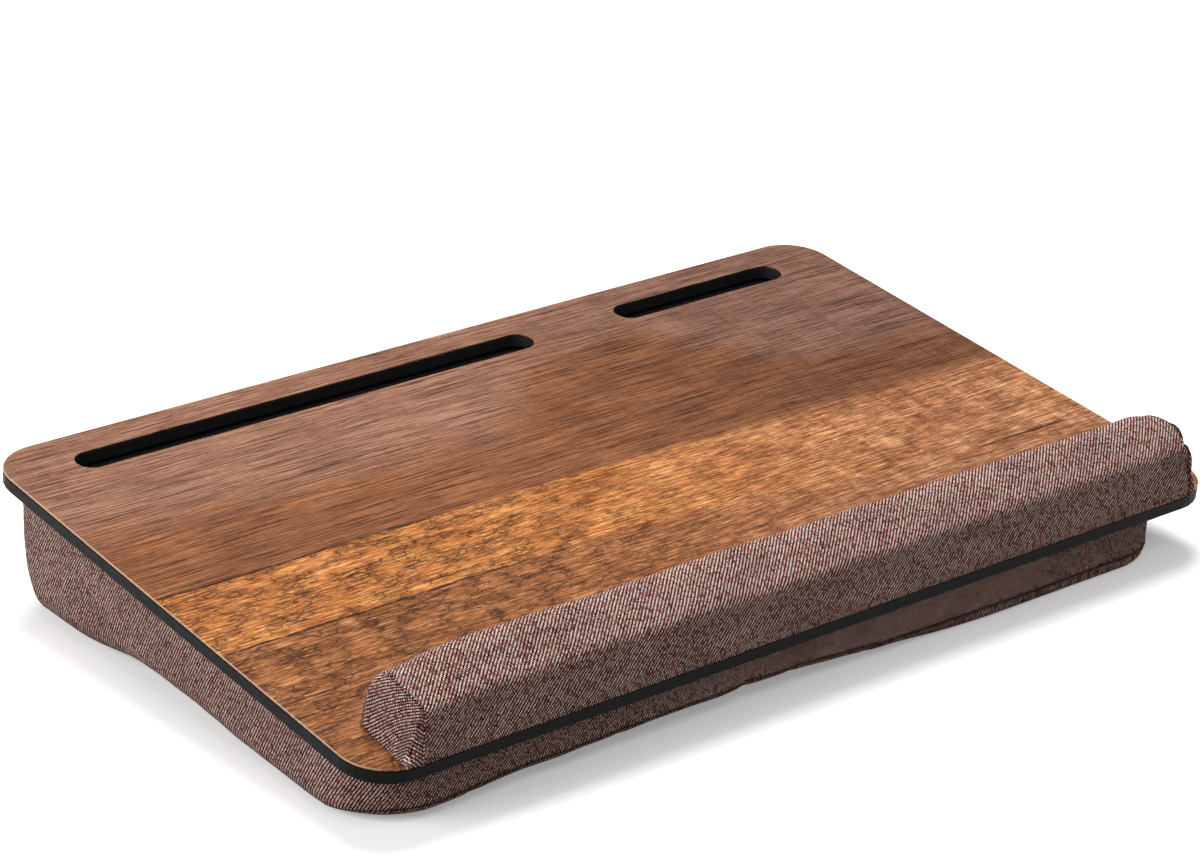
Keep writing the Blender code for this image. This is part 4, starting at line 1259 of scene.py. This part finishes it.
def make_filling(name, node, finish, faces_outside):
    """A soft, lumpy form inside the space of its CAD solid and within the cover."""
    bm = bmesh.new()
    bm.from_mesh(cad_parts[node].data)
    bmesh.ops.remove_doubles(bm, verts=bm.verts, dist=SAME_POINT)
    rough = made_mesh(name + "_block", bm)
    mesh = evenly_faced(rough, FILLING_VOXEL, FILLING_SOFTENED)
    mesh.name = name
    normals = [vert.normal.copy() for vert in mesh.vertices]
    for vert, normal in zip(mesh.vertices, normals):
        lump = 0.5 + 0.5 * noise.noise(vert.co * FILLING_LUMPS_PER_METRE)
        vert.co -= normal * (FILLING_INSIDE + FILLING_LUMPS * lump)
        spot, out, _, _ = faces_outside.find_nearest(vert.co)
        if (spot - vert.co).dot(out) < FILLING_FROM_COVER:
            vert.co = spot - out * FILLING_FROM_COVER
    piece = put(name, mesh, finish, place=Matrix.Identity(4))
    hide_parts(node)


loose_fibre = fibre_filling()
cover_outside = cover_faces()
make_filling("front_pad_fibre", "front_pad_filling", loose_fibre, cover_outside)
make_filling("rear_bolster_fibre", "rear_bolster_filling", loose_fibre, cover_outside)


# Lining and fixing: a dark lining closes the top of the cover, and runs of hook and loop
# hold it under the board, so that the cover comes off for washing.

def plain_lining():
    lining = Finish("dark_lining", {"Roughness": 0.85, "Specular IOR Level": 0.2})
    place = lining.on_board()
    x, y, _ = lining.apart(place)
    warp = lining.sum("ABSOLUTE", lining.sum("SINE", lining.sum("MULTIPLY", x, 9)))
    weft = lining.sum("ABSOLUTE", lining.sum("SINE", lining.sum("MULTIPLY", y, 9)))
    threads = lining.sum("MAXIMUM", warp, weft)
    slubs = lining.cloud(place, (0.2, 2, 1), 2)
    tone = lining.sum("MULTIPLY_ADD", slubs, 0.5, lining.sum("MULTIPLY", threads, 0.5))
    lining.colour(lining.ramp(tone, ((0.4, shade(30, 28, 29)), (0.9, shade(58, 54, 54)))))
    lining.relief(threads, 0.0001)
    return lining


def hook_and_loop(name, per_millimetre, dark, pale):
    tape = Finish(name, {"Roughness": 0.9, "Specular IOR Level": 0.2})
    place = tape.on_board()
    tufts = tape.node("TexVoronoi", {"Vector": place, "Scale": per_millimetre}).outputs["Distance"]
    return grained(tape, tufts, (0.1, pale), (0.7, dark), 0.0003)


lining_cloth = plain_lining()
dress("cushion_top_lining", lining_cloth)
dress("filling_divider", lining_cloth)
hooks = hook_and_loop("nylon_hooks", 1.4, shade(12, 12, 13), shade(52, 52, 54))
loops = hook_and_loop("nylon_loops", 0.7, shade(16, 15, 16), shade(66, 63, 64))
for run in ("front", "rear"):
    dress(f"hook_strip_{run}", hooks)
    dress(f"loop_strip_{run}", loops)


# Zip across the rear of the cover: two woven tapes, a coil of nylon teeth sewn to each,
# a metal stop at both ends, and a slider with a pull tab that turns on it.
# Its own frame has +X to the right as seen from behind, +Y up and +Z out of the cushion.

ZIP_TAPE_SET_IN = 0.0004
TEETH_HALF_LENGTH = ZIP_HALF_LENGTH - 0.0076
TEETH_LOW = ROOM - ZIP_TAPE_SET_IN
TEETH_DEPTH = 0.0014
TEETH_OUTER = 0.0026
TEETH_CROSSING = 0.0003
TEETH_PITCH = 0.0012
COIL_THREAD = 0.00032
COIL_POINTS = 12
COIL_THREAD_SIDES = 5
STITCH_LENGTH = 0.0026
STITCH_GAP = 0.0008
STITCH_THICKNESS = 0.00028
STITCH_FROM_OPENING = 0.003

zip_place = board_place @ Matrix(
    ((-1, 0, 0, 0), (0, 0, 1, CUSHION_REAR), (0, 1, 0, zip_middle), (0, 0, 0, 1))
)


class Maker:
    """A geometry node tree with named inputs, which ends in plain faces and a material."""

    def __init__(self, name, sizes):
        self.tree = bpy.data.node_groups.new(name, "GeometryNodeTree")
        self.tree.interface.new_socket("Geometry", in_out="OUTPUT", socket_type="NodeSocketGeometry")
        self.sockets = {}
        for size, kind in sizes.items():
            socket = self.tree.interface.new_socket(size, in_out="INPUT", socket_type=kind)
            self.sockets[size] = socket.identifier
        self.sizes = self.tree.nodes.new("NodeGroupInput").outputs
        self.out = self.tree.nodes.new("NodeGroupOutput")

    def node(self, kind, inputs=None, **settings):
        node = self.tree.nodes.new(kind)
        for name, value in settings.items():
            setattr(node, name, value)
        for name, value in (inputs or {}).items():
            if isinstance(value, bpy.types.NodeSocket):
                self.tree.links.new(value, node.inputs[name])
            else:
                node.inputs[name].default_value = value
        return node

    def end(self, geometry, material):
        plain = self.node("GeometryNodeRealizeInstances", {"Geometry": geometry})
        faced = self.node("GeometryNodeSetMaterial",
                          {"Geometry": plain.outputs[0], "Material": material})
        self.tree.links.new(faced.outputs[0], self.out.inputs[0])

    def mesh(self, name, values):
        """The plain mesh that the tree makes with these values."""
        carrier = in_scene(name, bpy.data.meshes.new(name))
        modifier = carrier.modifiers.new(name, "NODES")
        modifier.node_group = self.tree
        for size, value in values.items():
            modifier[self.sockets[size]] = value
        evaluated = carrier.evaluated_get(bpy.context.evaluated_depsgraph_get())
        mesh = bpy.data.meshes.new_from_object(evaluated)
        carrier.modifiers.remove(modifier)
        bpy.data.objects.remove(carrier)
        return mesh


def nylon_teeth():
    teeth = Finish("nylon_teeth", {"Specular IOR Level": 0.45})
    place = teeth.on_board()
    worn = teeth.cloud(place, (0.3, 1.5, 1.5), 3)
    teeth.colour(teeth.ramp(worn, ((0.3, shade(38, 28, 26)), (0.75, shade(74, 58, 54)))))
    teeth.roughness(teeth.span(worn, 0.3, 0.7, 0.34, 0.5))
    return teeth


def zip_tape():
    tape = Finish("zip_tape_twill", {"Roughness": 0.9, "Specular IOR Level": 0.15})
    x, y, z = tape.apart(tape.on_board())
    across = tape.sum("SINE", tape.sum("MULTIPLY", x, 7.5))
    chevron = tape.sum("ABSOLUTE", tape.sum("SINE", tape.sum("MULTIPLY", z, 1.1)))
    ribs = tape.sum("SINE", tape.sum("MULTIPLY_ADD", chevron, 3.2, tape.sum("MULTIPLY", x, 6.0)))
    height = tape.sum("MULTIPLY_ADD", ribs, 0.35, tape.sum("MULTIPLY_ADD", across, 0.15, 0.5))
    slubs = tape.cloud(tape.together(x, z), (0.3, 2.4, 0), 3)
    tone = tape.around(slubs, 0.8, height)
    tape.colour(tape.ramp(tone, ((0.05, shade(36, 26, 24)), (0.95, shade(92, 72, 68)))))
    tape.relief(height, 0.00015)
    return tape


def brushed_metal(name):
    metal = Finish(name, {"Metallic": 1.0, "Specular IOR Level": 0.5})
    place = metal.on_board()
    brush = metal.cloud(place, (0.5, 6, 6), 3, 0.6)
    wear = metal.cloud(place, (0.7, 0.7, 0.7), 3, 0.6)
    tone = metal.sum("MULTIPLY_ADD", wear, 0.6, metal.sum("MULTIPLY", brush, 0.4))
    metal.colour(metal.ramp(tone, ((0.3, shade(70, 66, 64)), (0.75, shade(128, 122, 118)))))
    metal.roughness(metal.span(brush, 0.3, 0.7, 0.28, 0.45))
    metal.relief(brush, 0.00002)
    return metal


def make_teeth():
    """Each row is one nylon thread wound into a flat coil along its tape."""
    sizes = {"Turns": "NodeSocketFloat", "Length": "NodeSocketFloat", "Reach": "NodeSocketFloat",
             "Depth": "NodeSocketFloat", "Thread": "NodeSocketFloat"}
    coil = Maker("coil_of_teeth", sizes)
    spiral = coil.node("GeometryNodeCurveSpiral", {
        "Resolution": COIL_POINTS, "Rotations": coil.sizes["Turns"],
        "Start Radius": 0.5, "End Radius": 0.5, "Height": coil.sizes["Length"]})
    size = coil.node("ShaderNodeCombineXYZ", {0: coil.sizes["Reach"], 1: coil.sizes["Depth"], 2: 1.0})
    flat = coil.node("GeometryNodeTransform", {"Geometry": spiral.outputs[0],
                                               "Scale": size.outputs[0]})
    ring = coil.node("GeometryNodeCurvePrimitiveCircle",
                     {"Resolution": COIL_THREAD_SIDES, "Radius": coil.sizes["Thread"]})
    thread = coil.node("GeometryNodeCurveToMesh", {
        "Curve": flat.outputs[0], "Profile Curve": ring.outputs[0], "Fill Caps": True})
    coil.end(thread.outputs[0], teeth_finish.material)
    reach = TEETH_OUTER + TEETH_CROSSING - 2 * COIL_THREAD
    depth = TEETH_DEPTH - 2 * COIL_THREAD
    for place, side in (("upper", 1), ("lower", -1)):
        mesh = coil.mesh(f"zip_coil_{place}", {
            "Turns": 2 * TEETH_HALF_LENGTH / TEETH_PITCH, "Length": 2 * TEETH_HALF_LENGTH,
            "Reach": reach, "Depth": depth, "Thread": COIL_THREAD})
        along = Matrix(((0, 0, 1, -TEETH_HALF_LENGTH + (side - 1) * TEETH_PITCH / 4),
                        (side, 0, 0, side * (TEETH_OUTER - TEETH_CROSSING) / 2),
                        (0, side, 0, TEETH_LOW + TEETH_DEPTH / 2), (0, 0, 0, 1)))
        mesh.transform(along)
        piece = put(f"zip_coil_{place}", mesh, teeth_finish, place=zip_place)
        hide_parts(f"zip_teeth_{place}")


def make_stitches():
    """The cover is folded in round the opening and sewn to the tapes."""
    sizes = {"Start": "NodeSocketVector", "Step": "NodeSocketVector", "Count": "NodeSocketInt",
             "Length": "NodeSocketFloat", "Thickness": "NodeSocketFloat"}
    run = Maker("run_of_stitches", sizes)
    line = run.node("GeometryNodeMeshLine", {
        "Count": run.sizes["Count"], "Start Location": run.sizes["Start"],
        "Offset": run.sizes["Step"]}, mode="OFFSET")
    bead = run.node("GeometryNodeMeshUVSphere", {"Segments": 6, "Rings": 5, "Radius": 0.5})
    size = run.node("ShaderNodeCombineXYZ", {0: run.sizes["Length"], 1: run.sizes["Thickness"],
                                             2: run.sizes["Thickness"]})
    shaped = run.node("GeometryNodeTransform",
                      {"Geometry": bead.outputs[0], "Scale": size.outputs[0]})
    laid = run.node("GeometryNodeInstanceOnPoints", {
        "Points": line.outputs[0], "Instance": shaped.outputs[0]})
    run.end(laid.outputs[0], sewing_thread.material)
    pitch = STITCH_LENGTH + STITCH_GAP
    half = ZIP_HALF_LENGTH + STITCH_FROM_OPENING
    height = ZIP_HALF_HEIGHT + STITCH_FROM_OPENING
    bm = bmesh.new()
    for turned, reach, away in ((0, half, height), (180, half, height),
                                (90, height, half), (270, height, half)):
        count = int(2 * reach / pitch)
        mesh = run.mesh("stitches", {
            "Start": (-pitch * (count - 1) / 2, away, 0), "Step": (pitch, 0, 0), "Count": count,
            "Length": STITCH_LENGTH, "Thickness": STITCH_THICKNESS * 2})
        mesh.transform(Matrix.Rotation(math.radians(turned), 4, "Z"))
        bm.from_mesh(mesh)
    mesh = made_mesh("zip_stitches", bm)
    put("zip_stitches", mesh, sewing_thread, place=zip_place)


teeth_finish = nylon_teeth()
sewing_thread = Finish("brown_sewing_thread", {"Roughness": 0.7, "Specular IOR Level": 0.3})
ply = sewing_thread.cloud(sewing_thread.on_board(), (2.5, 6, 6), 2)
grained(sewing_thread, ply, (0.3, shade(58, 38, 34)), (0.7, shade(112, 84, 78)), 0.0001)
make_teeth()
make_stitches()
tape_cloth = zip_tape()
dress("zip_tape_upper", tape_cloth)
dress("zip_tape_lower", tape_cloth)
metal = brushed_metal("dark_zip_metal")
for node in ("zip_stop_closed_end", "zip_stop_open_end", "zip_slider", "zip_pull_tab"):
    dress(node, metal)


# Setting: a pale floor, soft light from above and the photograph's viewpoint.
# Nothing in it belongs to the lap desk.

CAMERA_PLACE = (-1.09405, -1.10761, 0.91833)
CAMERA_RIGHT = (0.78735, -0.61160, 0.07760)
CAMERA_DOWN = (-0.23482, -0.41389, -0.87952)
CAMERA_AHEAD = (0.57003, 0.67427, -0.46950)
FOCAL_LENGTH = 110.75
SENSOR_WIDTH = 36
WORLD_SHADE = 0.2
# Each light: its name, its place, what it points at, its width and its power in watts.
LIGHTS = (("overhead", (0.45, 0.6, 2.3), (0, 0, 0), 1.4, 60),
          ("left_fill", (-2.4, 0.2, 1.3), (0, 0, 0.05), 1.6, 42),
          ("front_fill", (-0.5, -1.7, 2.2), (0, 0, 0.03), 1.2, 12))
FLOOR_HALF_SIZE = 15
FLOOR_SHADE = 0.32
FLOOR_SEEN_SHADE = 1.0
FLOOR_GLOW = 0.28
FLOOR_FADE = (0.5, 1.6)


def make_camera():
    turn = board_place.to_3x3()
    right, down, ahead = (turn @ Vector(way) for way in (CAMERA_RIGHT, CAMERA_DOWN, CAMERA_AHEAD))
    data = bpy.data.cameras.new("photograph_view")
    data.sensor_width = SENSOR_WIDTH
    data.lens = FOCAL_LENGTH
    data.clip_start = 0.01
    camera = in_scene("photograph_view", data)
    turned = Matrix((right, -down, -ahead)).transposed().to_4x4()
    camera.matrix_world = Matrix.Translation(board_place @ Vector(CAMERA_PLACE)) @ turned
    bpy.context.scene.camera = camera


def make_floor():
    """A matt floor. The camera and gloss see it fade to plain white away from the shadow."""
    floor_finish = bpy.data.materials.new("pale_floor")
    floor_finish.use_nodes = True
    tree = floor_finish.node_tree
    tree.nodes.clear()

    def node(kind, *values, **settings):
        made = tree.nodes.new("ShaderNode" + kind)
        for name, value in settings.items():
            setattr(made, name, value)
        for socket, value in zip(made.inputs, values):
            if isinstance(value, bpy.types.NodeSocket):
                tree.links.new(value, socket)
            elif value is not None:
                socket.default_value = value
        return made

    rays = node("LightPath").outputs
    seen = node("Math", rays["Is Camera Ray"], rays["Is Glossy Ray"], operation="MAXIMUM")
    seen = node("Math", seen.outputs[0], rays["Is Transmission Ray"], operation="MAXIMUM")
    seen = seen.outputs[0]
    place = node("TexCoord").outputs["Object"]
    away = node("VectorMath", place, operation="LENGTH").outputs["Value"]
    far = node("MapRange", away, *FLOOR_FADE, 0, 1, interpolation_type="SMOOTHSTEP").outputs[0]
    glow = node("MapRange", far, 0, 1, FLOOR_GLOW, 1).outputs[0]
    glow = node("Math", glow, seen, operation="MULTIPLY").outputs[0]
    paler = node("MapRange", seen, 0, 1, FLOOR_SHADE, FLOOR_SEEN_SHADE).outputs[0]
    paler = node("CombineColor", paler, paler, paler).outputs[0]
    matt = node("BsdfDiffuse", paler).outputs[0]
    light = node("Emission", None, glow).outputs[0]
    both = node("AddShader", matt, light).outputs[0]
    tree.links.new(both, node("OutputMaterial").inputs["Surface"])
    bm = bmesh.new()
    bmesh.ops.create_grid(bm, x_segments=1, y_segments=1, size=FLOOR_HALF_SIZE)
    mesh = made_mesh("floor", bm)
    mesh.materials.append(floor_finish)
    floor = in_scene("floor", mesh)


def make_light(name, place, target, size, watts):
    data = bpy.data.lights.new(name, "AREA")
    data.shape = "DISK"
    data.size = size
    data.energy = watts
    light = in_scene(name, data)
    aim = (Vector(target) - Vector(place)).to_track_quat("-Z", "Y")
    light.matrix_world = Matrix.Translation(place) @ aim.to_matrix().to_4x4()


make_camera()
make_floor()
for light in LIGHTS:
    make_light(*light)
world = bpy.data.worlds.new("pale_room")
bpy.context.scene.world = world
world.use_nodes = True
sky = world.node_tree.nodes["Background"]
sky.inputs["Color"].default_value = (1, 1, 1, 1)
rays = world.node_tree.nodes.new("ShaderNodeLightPath")
level = world.node_tree.nodes.new("ShaderNodeMapRange")
level.inputs["To Min"].default_value = WORLD_SHADE
level.inputs["To Max"].default_value = 1
world.node_tree.links.new(rays.outputs["Is Camera Ray"], level.inputs["Value"])
world.node_tree.links.new(level.outputs[0], sky.inputs["Strength"])
bpy.context.scene.view_settings.view_transform = "Standard"
